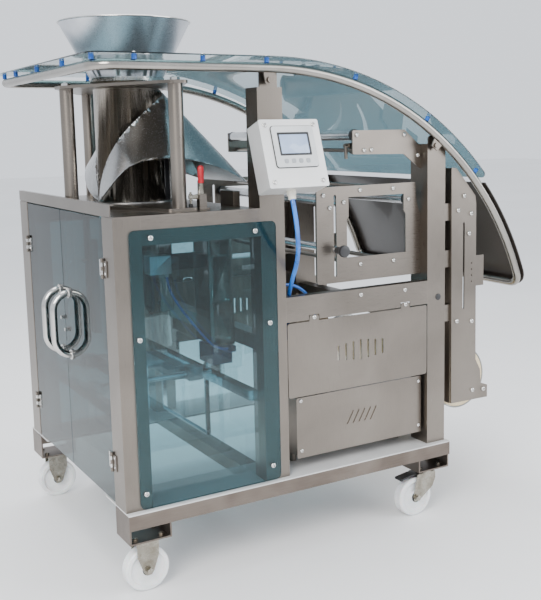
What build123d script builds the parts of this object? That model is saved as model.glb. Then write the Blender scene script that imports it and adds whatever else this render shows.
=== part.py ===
"""Vertical form fill sealer: a wheeled cabinet with a forming set, a film unwind and a clear hood.

Sizes are in millimetres. The numbers below are measured from the cabinet's left face (x), its front
face (y) and a datum a little under the floor (z). `left`, `front` and `datum` place them so that the
origin is on the floor under the middle of the whole machine. Most things at the front have a mirrored
twin at the rear.
"""
import math
import os

from build123d import *

os.makedirs("parts", exist_ok=True)

# ---- driving dimensions -------------------------------------------------------------------------
left = -755.4                # x of the cabinet's left face
front = -438.6               # y of the cabinet's front face
datum = -13.0                # height of the level that z is counted from
depth = 990.0                # cabinet, front face to rear face
middle = depth / 2           # the plane that the front and rear twins mirror about
shelf_top = 280.0            # top of the base shelves, where the posts stand
box_bottom = 185.0           # underside of the castor boxes
cabinet_top = 1162.0         # top of the table
ledge = 20.0                 # how far the base stands out past the cabinet
sheet = 3.0                  # folded sheet metal
post_x, post_y = 84.0, 94.0  # corner posts
mid_x0, mid_x1, mid_y, mid_top = 476.0, 563.0, 74.0, 1529.0
right_x0, right_x1, right_y, right_top = 1134.5, 1212.5, 94.0, 1343.0
base_x1 = 1222.0             # right end of the base

tube_x, tube_y = 252.0, 494.0  # axis of the forming tube
tube_r = 113.0
plate_low, plate_high = 1162.0, 1543.0  # undersides of the forming set's two plates
jaw_z = 592.0                # height of the sealing jaws

rail_r = 15.0                # hood tube radius
rail_y = -17.0               # hood side rail, axis
rail_z = 1586.0              # hood rail height over the table
arc_x = 510.0                # where the straight hood rail starts to curve down
arc_r = 1095.0               # radius of the hood's curve
arc_turn = 70.0              # degrees that the hood's side rail turns down
sheet_gap = 14.0             # spacers between the hood rail and the clear sheet
hood_sheet_t = 4.0

wheel_r = 70.0
axle_z = wheel_r - datum     # wheels stand on the floor
left_castor_x, right_castor_x = 67.0, 1147.0
castor_y = 37.0
trail = 50.0                 # how far a swivel castor's wheel trails its pivot

reel_x, reel_z, reel_r = 1370.0, 468.0, 119.0
film_w = 756.0               # width of the flat film on the reel
feed_y = 46.0                # rear face of the front feed plate


def level(z):
    """A horizontal plane with the machine's x and y."""
    return Plane(origin=(left, front, datum + z))


def facing_front(y):
    """A plane seen from the front: local x is the machine's x, local y is height, normal -Y."""
    return Plane(origin=(left, front + y, datum), x_dir=(1, 0, 0), z_dir=(0, -1, 0))


def facing_right(x):
    """A plane across the machine: local x is the machine's y, local y is height, normal +X."""
    return Plane(origin=(left + x, front, datum), x_dir=(0, 1, 0), z_dir=(1, 0, 0))


def spot(x, y, z):
    """A place in the machine's own coordinates."""
    return Vector(left + x, front + y, datum + z)


def block(x0, x1, y0, y1, z0, z1, mode=Mode.ADD):
    """Add (or cut) a box between two opposite corners."""
    with Locations(spot((x0 + x1) / 2, (y0 + y1) / 2, (z0 + z1) / 2)):
        Box(x1 - x0, y1 - y0, z1 - z0, mode=mode)


def rod(x, y, z, radius, length, axis, mode=Mode.ADD):
    """Add (or cut) a cylinder centred on a place, along "x", "y" or "z"."""
    turn = {"x": (0, 90, 0), "y": (90, 0, 0), "z": (0, 0, 0)}[axis]
    with Locations(spot(x, y, z)):
        Cylinder(radius, length, rotation=turn, mode=mode)


def twin_y(y):
    """The place of the rear twin of something at y."""
    return 2 * middle - y


def dome_screws(places, face_y, radius=9.0, height=6.0):
    """Dome heads standing out of a front face."""
    for x, z in places:
        with Locations(Location(spot(x, face_y, z), (90, 0, 0))):
            Cylinder(radius, height * 0.5, align=(Align.CENTER, Align.CENTER, Align.MIN))
            with Locations((0, 0, height * 0.5)):
                Cone(radius, radius * 0.55, height * 0.5, align=(Align.CENTER, Align.CENTER, Align.MIN))


def save(builder, name):
    """Label a finished piece and write its file."""
    builder.part.label = name
    export_step(builder.part, f"parts/{name}.step")


# ---- base ---------------------------------------------------------------------------------------
lip_bottom = 230.0
shelf_depth = 180.0
shelf_t = 4.0
beam_z1 = shelf_top - shelf_t
with BuildPart() as base_frame:
    for y0, y1 in ((-ledge, 60.0), (depth - 60.0, depth + ledge)):
        outer = -ledge if y0 < 0 else depth + ledge
        web = (outer, outer + sheet) if y0 < 0 else (outer - sheet, outer)
        block(0, base_x1, web[0], web[1], lip_bottom, beam_z1)
        block(0, base_x1, y0, y1, beam_z1 - sheet, beam_z1)
        back = (y1 - sheet, y1) if y0 < 0 else (y0, y0 + sheet)
        block(0, base_x1, back[0], back[1], lip_bottom, beam_z1)
    for x0 in (480.0, base_x1 - 60.0):
        block(x0, x0 + 60, 57, depth - 57, lip_bottom, beam_z1)
        block(x0 + sheet, x0 + 57, 50, depth - 50, lip_bottom - 1, beam_z1 - sheet, mode=Mode.SUBTRACT)
    for x0, x1 in ((0.0, 134.0), (1082.0, 1216.0)):
        for y0, y1 in ((-ledge, post_y), (depth - post_y, depth + ledge)):
            block(x0, x1, y0, y1, box_bottom, box_bottom + 5)
            block(x0, x0 + 5, y0, y1, box_bottom, beam_z1 - sheet)
            block(x1 - 5, x1, y0, y1, box_bottom, beam_z1 - sheet)
save(base_frame, "base_frame")

with BuildPart() as base_shelf:
    for y0, y1 in ((-ledge, shelf_depth), (depth - shelf_depth, depth + ledge)):
        block(0, base_x1, y0, y1, beam_z1, shelf_top)
save(base_shelf, "base_shelf")

# ---- cabinet ------------------------------------------------------------------------------------
header_z = 1075.0
lip_top = 1197.0
with BuildPart() as cabinet_posts:
    for y0, y1 in ((0.0, post_y), (depth - post_y, depth)):
        block(0, post_x, y0, y1, shelf_top, cabinet_top - sheet)
        block(sheet, post_x - sheet, y0 + sheet, y1 - sheet, shelf_top, cabinet_top - sheet, mode=Mode.SUBTRACT)
    fillet(cabinet_posts.edges().filter_by(Axis.Z).group_by(Axis.X)[0], 2.5)
save(cabinet_posts, "cabinet_posts")

with BuildPart() as cabinet_rails:
    for y0, y1, face0 in ((0.0, 40.0, 0.0), (depth - 40.0, depth, depth - sheet)):
        block(post_x, mid_x0, face0, face0 + sheet, header_z, cabinet_top - sheet)
        block(post_x, mid_x0, y0, y1, header_z, header_z + sheet)
    block(0, sheet, 22, depth, cabinet_top, lip_top)
    block(0, 14, 22, depth, lip_top - sheet, lip_top)
    block(440, mid_x0 - 1, 60, depth - 60, 1110, cabinet_top - sheet)
save(cabinet_rails, "cabinet_rails")

table_hole_r = 128.0
clamp_x, clamp_z = 325.0, 1200.0   # pivot of the front toggle clamp
with BuildPart() as table_top:
    with BuildSketch(level(cabinet_top - sheet)):
        with BuildLine():
            Polyline((sheet, 0), (mid_x0 - 1, 0), (mid_x0 - 1, depth), (sheet, depth), close=True)
        make_face()
        with Locations((tube_x, tube_y)):
            Circle(table_hole_r, mode=Mode.SUBTRACT)
        for y in (150.0, twin_y(150.0)):
            with Locations((130, y)):
                SlotOverall(120, 9, mode=Mode.SUBTRACT)
    extrude(amount=sheet)
    for y in (165.0, twin_y(165.0)):
        block(446, 470, y - 45, y + 45, cabinet_top, 1210)
    for y in (100.0, twin_y(100.0)):
        block(clamp_x - 12, clamp_x + 22, y - 14, y + 14, cabinet_top, cabinet_top + 4)
        for side in (-1, 1):
            block(clamp_x - 10, clamp_x + 14, y + side * 9 - 2, y + side * 9 + 2, cabinet_top, clamp_z + 9)
        rod(clamp_x, y, clamp_z, 4, 22, "y")
save(table_top, "table_top")

with BuildPart() as columns:
    for mirrored in (False, True):
        for x0, x1, wide, top in ((mid_x0, mid_x1, mid_y, mid_top), (right_x0, right_x1, right_y, right_top)):
            y0, y1 = (depth - wide, depth) if mirrored else (0.0, wide)
            block(x0, x1, y0, y1, shelf_top, top)
            block(x0 + sheet, x1 - sheet, y0 + sheet, y1 - sheet, shelf_top, top, mode=Mode.SUBTRACT)
    rod(mid_x1 + 10, 50, 905, 8, 20, "x")
save(columns, "columns")

rail_top, rail_low = 871.0, 790.0
cover_low, cover_high = 539.0, 785.0
cover_tabs = (667.0, 1038.0)
with BuildPart() as crossrails:
    for y0, y1, face0 in ((0.0, 36.0, 0.0), (depth - 36.0, depth, depth - sheet)):
        block(mid_x1, right_x0, face0, face0 + sheet, rail_low, rail_top)
        block(mid_x1, right_x0, y0, y1, rail_top - sheet, rail_top)
        block(mid_x1, right_x0, y0, y1, rail_low, rail_low + sheet)
        for x in cover_tabs:
            block(x - 20, x + 20, face0 - 1, face0 + sheet + 0.5, rail_low - 1, cover_high + 21,
                  mode=Mode.SUBTRACT)
    for x0 in (mid_x0 + 10, right_x0 + 10):
        block(x0, x0 + 50, right_y, depth - right_y, 700, 750)
    block(mid_x0 + 10, mid_x0 + 60, mid_y, right_y, 700, 750)
    block(mid_x0 + 10, mid_x0 + 60, depth - right_y, depth - mid_y, 700, 750)
save(crossrails, "crossrails")

cover_x0, cover_x1 = 566.0, 1131.0
with BuildPart() as cover_plates:
    for y in (sheet, depth):
        with BuildSketch(facing_front(y)):
            with Locations(((cover_x0 + cover_x1) / 2, (cover_low + cover_high) / 2)):
                RectangleRounded(cover_x1 - cover_x0, cover_high - cover_low, 8)
            for x in cover_tabs:
                with Locations((x, cover_high + 4)):
                    RectangleRounded(36, 30, 8)
            for step in range(7):
                with Locations((760 + 30 * step, 665)):
                    SlotOverall(70 - 6 * abs(step - 3), 8, rotation=90, mode=Mode.SUBTRACT)
        extrude(amount=sheet)
save(cover_plates, "cover_plates")

box_x0, box_x1, box_z0, box_z1, box_y0, box_y1 = 609.0, 1126.0, 321.0, 527.0, 25.0, 300.0
with BuildPart() as enclosure:
    block(box_x0 + 8, box_x1 - 8, box_y0 + 6, box_y1, box_z0 + 4, box_z1 - 4)
    block(box_x0 + 11, box_x1 - 11, box_y0 + 9, box_y1 - 3, box_z0 + 7, box_z1 - 7, mode=Mode.SUBTRACT)
    with BuildSketch(facing_front(box_y0 + 3)):
        with Locations(((box_x0 + box_x1) / 2, (box_z0 + box_z1) / 2)):
            RectangleRounded(box_x1 - box_x0, box_z1 - box_z0, 4)
        for step in range(5):
            with Locations((820 + 24 * step, 428)):
                SlotOverall(52, 7, rotation=60, mode=Mode.SUBTRACT)
    extrude(amount=3)
    block(box_x0 + 8, box_x1 - 8, box_y0 + 3, box_y0 + 6, box_z0 + 4, box_z1 - 4)
    for x in (box_x0 + 40, box_x1 - 40):
        for y in (125.0, 165.0):
            rod(x, y, (shelf_top + box_z0 + 4) / 2, 12, box_z0 + 4 - shelf_top, "z")
    for x, y, radius, length in ((640, 77, 11, 26), (738, 80, 9, 22)):
        rod(x, y, box_z1 - 4 + length / 2, radius, length, "z")
save(enclosure, "enclosure")

# ---- windows and doors --------------------------------------------------------------------------
window_x0, window_x1, window_z0, window_z1, window_t = 45.0, 528.0, 283.0, 1121.0, 6.0
with BuildPart() as window_sheets:
    for y in (-0.1, depth + window_t + 0.1):
        with BuildSketch(facing_front(y)):
            with Locations(((window_x0 + window_x1) / 2, (window_z0 + window_z1) / 2)):
                RectangleRounded(window_x1 - window_x0, window_z1 - window_z0, 18)
        extrude(amount=window_t)
save(window_sheets, "window_sheets")

hinge_y, pin_x = 92.0, -5.0
door_x0, door_x1 = 2.0, 8.0
door_low, door_high = 284.5, 1155.0
seam = 505.0
handle_y, handle_low, handle_high, handle_out, handle_r = 450.0, 677.0, 886.0, 58.0, 11.0
hinge_levels = (417.0, 1007.0)
leaf_gap = 1.5
knuckle_r = 4.5


def door_leaf(y0, y1):
    """One clear leaf with rounded corners, with a pair of holes for its handle's studs."""
    with BuildSketch(facing_right(door_x0)) as leaf:
        with Locations(((y0 + y1) / 2, (door_low + door_high) / 2)):
            RectangleRounded(y1 - y0, door_high - door_low, 6)
    extrude(leaf.sketch, amount=door_x1 - door_x0)


def handle_ring(y):
    """A D handle on each side of the leaf, back to back, drawn as one racetrack of tube."""
    bend = handle_out
    centre = (door_x0 + door_x1) / 2
    out = centre - bend
    inn = centre + bend
    with BuildLine() as path:
        Line(spot(out, y, handle_low + bend), spot(out, y, handle_high - bend))
        ThreePointArc(spot(out, y, handle_high - bend), spot(centre, y, handle_high),
                      spot(inn, y, handle_high - bend))
        Line(spot(inn, y, handle_high - bend), spot(inn, y, handle_low + bend))
        ThreePointArc(spot(inn, y, handle_low + bend), spot(centre, y, handle_low),
                      spot(out, y, handle_low + bend))
    with BuildSketch(Plane(origin=path.line @ 0, z_dir=path.line % 0)) as section:
        Circle(handle_r)
    sweep(section.sketch, path=path.line)
    # the ring is cut where the clear leaf passes between its two halves
    block(door_x0, door_x1, y - 20, y + 20, handle_low - 20, handle_high + 20, mode=Mode.SUBTRACT)


def hinge_half(y_edge, toward, on_door):
    """Plates and knuckles of both hinges; `toward` is +1 where the leaf runs to the rear."""
    for z in hinge_levels:
        if on_door:
            y0, y1 = sorted((y_edge + toward * 7, y_edge + toward * 34))
            block(door_x0 - 3, door_x0, y0, y1, z - 24, z + 24)
            for dz in (-12, 12):
                rod(pin_x, y_edge, z + dz, knuckle_r, 11, "z")
                y0, y1 = sorted((y_edge, y_edge + toward * 9))
                block(door_x0 - 6, door_x0 - 3 + 0.5, y0, y1, z + dz - 5.5, z + dz + 5.5)
        else:
            y0, y1 = sorted((y_edge - toward * 7, y_edge - toward * 32))
            block(-3, 0, y0, y1, z - 24, z + 24)
            for dz in (-24, 0, 24):
                rod(pin_x, y_edge, z + dz, knuckle_r, 11.5, "z")
                y0, y1 = sorted((y_edge, y_edge - toward * 9))
                block(-6, -2.5, y0, y1, z + dz - 5.7, z + dz + 5.7)


edge_front = hinge_y + 4
edge_rear = twin_y(hinge_y) - 4
with BuildPart() as door_front:
    door_leaf(edge_front + 1, seam - leaf_gap)
save(door_front, "door_front")
with BuildPart() as door_rear:
    door_leaf(seam + leaf_gap, edge_rear - 1)
save(door_rear, "door_rear")

latch_z = 775.0
for name, y_edge, toward, y_ring in (("front", hinge_y, 1, handle_y), ("rear", twin_y(hinge_y), -1, 546.0)):
    with BuildPart() as door_fittings:
        handle_ring(y_ring)
        hinge_half(y_edge, toward, on_door=True)
        rod(door_x0 - 5, seam - toward * 18, latch_z - toward * 18, 6, 10, "x")
        rod(door_x1 + 5, seam - toward * 18, latch_z - toward * 18, 9, 10, "x")
    save(door_fittings, f"door_fittings_{name}")

with BuildPart() as hinge_leaves:
    for y_edge, toward in ((hinge_y, 1), (twin_y(hinge_y), -1)):
        hinge_half(y_edge, toward, on_door=False)
save(hinge_leaves, "hinge_leaves")

# ---- forming set --------------------------------------------------------------------------------
funnel_r, funnel_top, funnel_low, neck_r, wall = 216.5, 1762.0, 1580.0, 121.0, 2.0
tube_low = 668.0
tube_top = 1572.0
with BuildPart() as forming_tube:
    with BuildSketch(Plane(origin=spot(tube_x, tube_y, 0), x_dir=(1, 0, 0), z_dir=(0, -1, 0))):
        with BuildLine():
            Polyline((tube_r - wall, tube_low), (tube_r, tube_low), (tube_r, tube_top - 12),
                     (neck_r, tube_top - 12), (neck_r, funnel_low), (funnel_r, funnel_top),
                     (funnel_r - 2.4, funnel_top), (neck_r - wall - 0.4, funnel_low),
                     (neck_r - wall - 0.4, tube_top), (tube_r - wall, tube_top), close=True)
        make_face()
    revolve(axis=Axis(spot(tube_x, tube_y, 0), (0, 0, 1)))
save(forming_tube, "forming_tube")

forming_posts = ((249.0, 93.0), (249.0, 896.0), (43.0, 494.0))
joint_gap = 0.1              # bolted pieces of one group stand this far apart
plate_t = 9.0
base_outline = ((20, 450), (20, 538), (205, 928), (302, 928), (302, 840), (415, 610), (415, 378), (302, 148),
                (302, 60), (205, 60))
top_outline = ((14, 462), (14, 526), (222, 926), (278, 926), (398, 600), (398, 390), (278, 63), (222, 63))
with BuildPart() as forming_frame:
    for z, outline, hole in ((plate_low, base_outline, table_hole_r), (plate_high, top_outline, tube_r + 0.5)):
        with BuildSketch(level(z)) as plate_sketch:
            with BuildLine():
                Polyline(*outline, close=True)
            make_face()
            fillet(plate_sketch.vertices(), 18)
            with Locations((tube_x, tube_y)):
                Circle(hole, mode=Mode.SUBTRACT)
        extrude(amount=plate_t)
    for x, y in forming_posts:
        post_length = plate_high - plate_low - plate_t - 2 * joint_gap
        rod(x, y, (plate_low + plate_t + plate_high) / 2, 22.5, post_length, "z")
        rod(x, y, plate_high + plate_t + 3 + joint_gap, 9, 6, "z")
save(forming_frame, "forming_frame")

collar_r = 116.0
collar_low = plate_low + plate_t
seam_z, peak_z = 1182.0, 1534.0


def collar_point(angle, outward=0.0):
    """A place on the folding edge round the tube; it rises from the low seam at 180 degrees."""
    rise = math.cos(math.radians(angle) / 2) ** 0.7
    radius = collar_r + outward
    return spot(tube_x + radius * math.cos(math.radians(angle)),
                tube_y + radius * math.sin(math.radians(angle)), seam_z + (peak_z - seam_z) * rise)


def wing_point(angle, radius, z):
    """A place on the wing's outer edge."""
    return spot(tube_x + radius * math.cos(math.radians(angle)),
                tube_y + radius * math.sin(math.radians(angle)), z)


wing_edge = ((-176, 119, 1180), (-150, 142, 1202), (-130, 180, 1242), (-108, 228, 1302),
             (-80, 268, 1317), (-52, 330, 1283), (-26.6, 390, 1226))
shoulder_t = 2.0
apron_r, apron_h = 190.0, 147.0
with BuildPart() as forming_shoulder:
    folding_edge = Edge.make_spline([collar_point(a) for a in (-176, -165, -150, -130, -105, -75, -40, -12)])
    outer_edge = Edge.make_spline([wing_point(*p) for p in wing_edge])
    wing = Face.make_surface_from_curves(folding_edge, outer_edge)
    thicken(wing, amount=shoulder_t)
    mirror(about=Plane(origin=spot(0, tube_y, 0), z_dir=(0, 1, 0)))
    near_ridge = Edge.make_line(collar_point(-12), wing_point(*wing_edge[-1]))
    far_ridge = Edge.make_line(collar_point(12), wing_point(-wing_edge[-1][0], *wing_edge[-1][1:]))
    thicken(Face.make_surface_from_curves(near_ridge, far_ridge), amount=shoulder_t)
    with BuildSketch(level(collar_low)):
        with Locations((tube_x, tube_y)):
            Circle(150)
            Circle(tube_r + 0.6, mode=Mode.SUBTRACT)
    extrude(amount=4)
    for way in (-1, 1):
        y0, y1 = sorted((tube_y + way * 66, tube_y + way * 71))
        with BuildSketch(facing_front(y1)):
            with BuildLine():
                Polyline((362, collar_low + 4), (392, collar_low + 4), (404, collar_low + 40), (404, 1440),
                         (372, 1440), (362, 1400), close=True)
            make_face()
        extrude(amount=y1 - y0)
    with BuildSketch(level(collar_low + joint_gap)):
        with BuildLine():
            inner = CenterArc((tube_x, tube_y), apron_r, -5, 110)
            outer = CenterArc((tube_x, tube_y), apron_r + shoulder_t, -5, 110)
            Line(inner @ 0, outer @ 0)
            Line(inner @ 1, outer @ 1)
        make_face()
    extrude(amount=apron_h)
save(forming_shoulder, "forming_shoulder")

# ---- hood ---------------------------------------------------------------------------------------
arc_z = rail_z - arc_r
rail_left = -31.0
corner_r, heel_r = 60.0, 45.0
end_angle = math.radians(arc_turn)


def on_arc(radius, degrees):
    """x and z on the hood's curve, counted from the place where it starts to fall."""
    turn = math.radians(degrees)
    return arc_x + radius * math.sin(turn), arc_z + radius * math.cos(turn)


end_x, end_z = on_arc(arc_r, arc_turn)
mid_arc_x, mid_arc_z = on_arc(arc_r, arc_turn / 2)
heel = (math.cos(end_angle), -math.sin(end_angle))
half = math.sqrt(0.5)
with BuildPart() as hood_frame:
    with BuildLine() as rail:
        Line(spot(rail_left, middle, rail_z), spot(rail_left, rail_y + corner_r, rail_z))
        ThreePointArc(spot(rail_left, rail_y + corner_r, rail_z),
                      spot(rail_left + corner_r * (1 - half), rail_y + corner_r * (1 - half), rail_z),
                      spot(rail_left + corner_r, rail_y, rail_z))
        Line(spot(rail_left + corner_r, rail_y, rail_z), spot(arc_x, rail_y, rail_z))
        ThreePointArc(spot(arc_x, rail_y, rail_z), spot(mid_arc_x, rail_y, mid_arc_z),
                      spot(end_x, rail_y, end_z))
        ThreePointArc(spot(end_x, rail_y, end_z),
                      spot(end_x + heel[0] * heel_r * half, rail_y + heel_r * (1 - half),
                           end_z + heel[1] * heel_r * half),
                      spot(end_x + heel[0] * heel_r, rail_y + heel_r, end_z + heel[1] * heel_r))
        Line(spot(end_x + heel[0] * heel_r, rail_y + heel_r, end_z + heel[1] * heel_r),
             spot(end_x + heel[0] * heel_r, middle, end_z + heel[1] * heel_r))
    with BuildSketch(Plane(origin=rail.line @ 0, z_dir=rail.line % 0)):
        Circle(rail_r)
    sweep(path=rail.line)
    mirror(about=Plane(origin=spot(0, middle, 0), z_dir=(0, 1, 0)))
save(hood_frame, "hood_frame")

cover_r = arc_r + rail_r + sheet_gap
cover_y0, cover_y1 = -46.0, depth + 46.0
clear_end, tail_start, tail_end = 49.5, 50.2, 73.0
tail_r, tail_t = arc_r + rail_r + 1.2, 3.0
funnel_gap_r = 165.0


with BuildPart() as hood_sheet:
    with BuildSketch(facing_front(cover_y1)):
        with BuildLine():
            start = [on_arc(cover_r, a) for a in (0, clear_end / 2, clear_end)]
            outer = [on_arc(cover_r + hood_sheet_t, a) for a in (0, clear_end / 2, clear_end)]
            ThreePointArc(*start)
            Line(start[2], outer[2])
            ThreePointArc(*outer)
            Line(outer[0], (-58.0, outer[0][1]))
            Line((-58.0, outer[0][1]), (-58.0, start[0][1]))
            Line((-58.0, start[0][1]), start[0])
        make_face()
    extrude(amount=cover_y1 - cover_y0)
    short = hood_sheet.edges().filter_by(lambda e: e.length < hood_sheet_t + 0.5)
    fillet(short.sort_by(Axis.X)[:2], 45)
    short = hood_sheet.edges().filter_by(lambda e: e.length < hood_sheet_t + 0.5)
    fillet(short.sort_by(Axis.X)[-2:], 30)
    rod(tube_x, tube_y, rail_z, funnel_gap_r, 200, "z", mode=Mode.SUBTRACT)
save(hood_sheet, "hood_sheet")

with BuildPart() as hood_tail:
    with BuildSketch(facing_front(cover_y1 - 10)):
        with BuildLine():
            inner = [on_arc(tail_r, a) for a in (tail_start, (tail_start + tail_end) / 2, tail_end)]
            outer = [on_arc(tail_r + tail_t, a)
                     for a in (tail_start, (tail_start + tail_end) / 2, tail_end)]
            ThreePointArc(*inner)
            Line(inner[2], outer[2])
            ThreePointArc(*outer)
            Line(outer[0], inner[0])
        make_face()
    extrude(amount=cover_y1 - cover_y0 - 20)
    short = hood_tail.edges().filter_by(lambda e: e.length < tail_t + 0.5)
    fillet(short.sort_by(Axis.Z)[:2], 60)
save(hood_tail, "hood_tail")

side_spacers = [("x", x) for x in (80.0, 291.0, 503.0)] + [("a", a) for a in (16.5, 33.0, 47.5)]
end_spacers = (20.0, 286.0, 555.0, 816.0, twin_y(20.0))


def on_every_spacer(shape):
    """Run `shape` in a local frame that stands on the rail at each spacer, z away from the rail."""
    for y in (rail_y, twin_y(rail_y)):
        for kind, value in side_spacers:
            x, z, tilt = (value, rail_z, 0.0) if kind == "x" else (*on_arc(arc_r, value), value)
            with Locations(Location(spot(x, y, z), (0, tilt, 0))):
                shape()
    for y in end_spacers:
        with Locations(Location(spot(rail_left, y, rail_z), (0, 0, 0))):
            shape()


def spacer():
    """A round distance piece between the rail and the sheet."""
    with Locations((0, 0, rail_r)):
        Cylinder(7.5, sheet_gap - 0.05, align=(Align.CENTER, Align.CENTER, Align.MIN))


def cap_head():
    """A low button head on top of the sheet."""
    with Locations((0, 0, rail_r + sheet_gap + hood_sheet_t)):
        Cylinder(7, 4, align=(Align.CENTER, Align.CENTER, Align.MIN))


with BuildPart() as hood_spacers:
    on_every_spacer(spacer)
save(hood_spacers, "hood_spacers")

bolt_z = 1550.0
side_bolt_x, side_bolt_z = on_arc(1066.0, 37.3)
with BuildPart() as hood_brackets:
    for mirrored in (False, True):
        y0, y1 = (sheet, 8.0) if not mirrored else (depth - 8.0, depth - sheet)
        tab0, tab1 = (rail_y - 3, rail_y + 3) if not mirrored else (twin_y(rail_y) - 3, twin_y(rail_y) + 3)
        for x0, x1, z0, z1, bx, bz in ((486, 548, 1420, 1581, arc_x, bolt_z),
                                       (1140, 1206, 1240, 1372, side_bolt_x, side_bolt_z)):
            with BuildSketch(facing_front(y1)):
                with Locations(((x0 + x1) / 2, (z0 + z1) / 2)):
                    RectangleRounded(x1 - x0, z1 - z0, 10)
                with Locations((bx + 14, bz + 8)):
                    SlotOverall(24, 9, mode=Mode.SUBTRACT)
            extrude(amount=y1 - y0)
            tilt = 0.0 if bz == bolt_z else 37.3
            with BuildSketch(facing_front(tab1)):
                with BuildLine():
                    direction = math.radians(tilt)
                    cx, cz = on_arc(arc_r - rail_r + 1, tilt)
                    along = (math.cos(direction), -math.sin(direction))
                    down = (-math.sin(direction), -math.cos(direction))
                    Polyline((cx - 20 * along[0], cz - 20 * along[1]), (cx + 20 * along[0], cz + 20 * along[1]),
                             (bx + 14 * along[0] + 12 * down[0], bz + 14 * along[1] + 12 * down[1]),
                             (bx - 14 * along[0] + 12 * down[0], bz - 14 * along[1] + 12 * down[1]), close=True)
                make_face()
            extrude(amount=tab1 - tab0)
            rod(bx, (min(tab0, y0) + max(tab1, y1)) / 2, bz, 5, max(tab1, y1) - min(tab0, y0) + 12, "y")
            rod(bx, (tab0 - 3) if not mirrored else (tab1 + 3), bz, 9, 6, "y")
save(hood_brackets, "hood_brackets")

# ---- operator box -------------------------------------------------------------------------------
face_tilt = 18.5
face_x0, face_w, face_h = 427.0, 203.0, 208.0
face_top_y, face_top_z = -92.5, 1429.0
box_t = 76.0
face_plane = Plane(origin=spot(face_x0, face_top_y, face_top_z),
                   x_dir=(1, 0, 0),
                   z_dir=(0, -math.cos(math.radians(face_tilt)), math.sin(math.radians(face_tilt))))


def on_face(x, down, out=0.0):
    """A place on the operator box's sloping face: across, down from the top edge, and out of it."""
    return face_plane.offset(out).location * Location((x, -down, 0))


with BuildPart() as hmi_box:
    with BuildSketch(face_plane.offset(-box_t)):
        with Locations((face_w / 2, -face_h / 2)):
            RectangleRounded(face_w, face_h, 4)
    extrude(amount=box_t - 3)
    with BuildSketch(face_plane.offset(-3)):
        with Locations((face_w / 2, -face_h / 2)):
            RectangleRounded(face_w + 2, face_h + 2, 6)
        with Locations((106, -84.5)):
            Rectangle(126, 110, mode=Mode.SUBTRACT)
    extrude(amount=3)
    with BuildSketch(face_plane.offset(-43)):
        with Locations((106, -84.5)):
            Rectangle(126, 110)
    extrude(amount=40, mode=Mode.SUBTRACT)
    with BuildSketch(facing_right(480)):
        with BuildLine():
            Polyline((0, 1400), (-17.5, 1404), (-84, 1207), (0, 1245), close=True)
        make_face()
    extrude(amount=80)
    with Locations(on_face(94, face_h, -46) * Location((0, 0, 0), (90, 0, 0))):
        Cylinder(13, 12, align=(Align.CENTER, Align.CENTER, Align.MIN))
        Cylinder(10, 24, align=(Align.CENTER, Align.CENTER, Align.MIN))
save(hmi_box, "hmi_box")

button_x = (68.0, 93.0, 118.0, 143.0)
button_down, button_size = 129.0, 13.0
with BuildPart() as terminal:
    with BuildSketch(face_plane):
        with Locations((106, -84.5)):
            RectangleRounded(142, 126, 8)
    extrude(amount=5)
    with BuildSketch(face_plane.offset(-38)):
        with Locations((106, -84.5)):
            Rectangle(124, 108)
    extrude(amount=38)
    with BuildSketch(face_plane.offset(5)):
        with Locations((106, -76.5)):
            RectangleRounded(110, 72, 3)
    extrude(amount=-2, mode=Mode.SUBTRACT)
    with BuildSketch(face_plane.offset(5)):
        for x in button_x:
            with Locations((x, -button_down)):
                RectangleRounded(button_size + 0.8, button_size + 0.8, 4.2)
    extrude(amount=-4, mode=Mode.SUBTRACT)
save(terminal, "terminal")

for count, x in enumerate(button_x, start=1):
    with BuildPart() as button:
        with BuildSketch(face_plane.offset(2.2)):
            with Locations((x, -button_down)):
                RectangleRounded(button_size, button_size, 3.8)
        extrude(amount=4)
    save(button, f"button_{count}")

# ---- film feed ----------------------------------------------------------------------------------
feed_t = 6.0
slot_x, slot_z0, slot_z1 = 779.0, 914.0, 1186.0
knob_z = 1004.0
feed_rollers = ((813.0, 1160.0, 17.0), (1083.0, 1157.0, 17.0))
top_roller = (869.0, 1379.0, 18.0)
unwind_roller = (1293.0, 1160.0, 17.0)
with BuildPart() as feed_plates:
    for y in (feed_y, twin_y(feed_y) + feed_t):
        with BuildSketch(facing_front(y)) as outline:
            with BuildLine():
                Polyline((708, 1212), (706, 893), (1134, 893), (1134, 1100), (1117, 1150), (1112, 1214),
                         close=True)
            make_face()
            fillet(outline.vertices().sort_by(Axis.X)[:2], 12)
            with BuildLine():
                Polyline((833, 1176), (1062, 1176), (1062, 1122), (1070, 1108), (1070, 974), (826, 974),
                         (826, 1102), (833, 1112), close=True)
            make_face(mode=Mode.SUBTRACT)
            with Locations((slot_x, (slot_z0 + slot_z1) / 2)):
                SlotOverall(slot_z1 - slot_z0, 10, rotation=90, mode=Mode.SUBTRACT)
        extrude(amount=feed_t)
    for y0, y1 in ((feed_y - feed_t, feed_y + 24), (twin_y(feed_y) - 24, twin_y(feed_y) + feed_t)):
        block(right_x0 - 6, right_x0, y0, y1, 893, 1100)
    for x, z in ((879, 1197), (1016, 1197), (878, 948), (1017, 949)):
        rod(x, middle, z, 8, twin_y(feed_y) - feed_y, "y")
    for x, z, r in feed_rollers:
        rod(x, middle, z, 6, twin_y(feed_y) - feed_y, "y")
save(feed_plates, "feed_plates")

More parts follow.
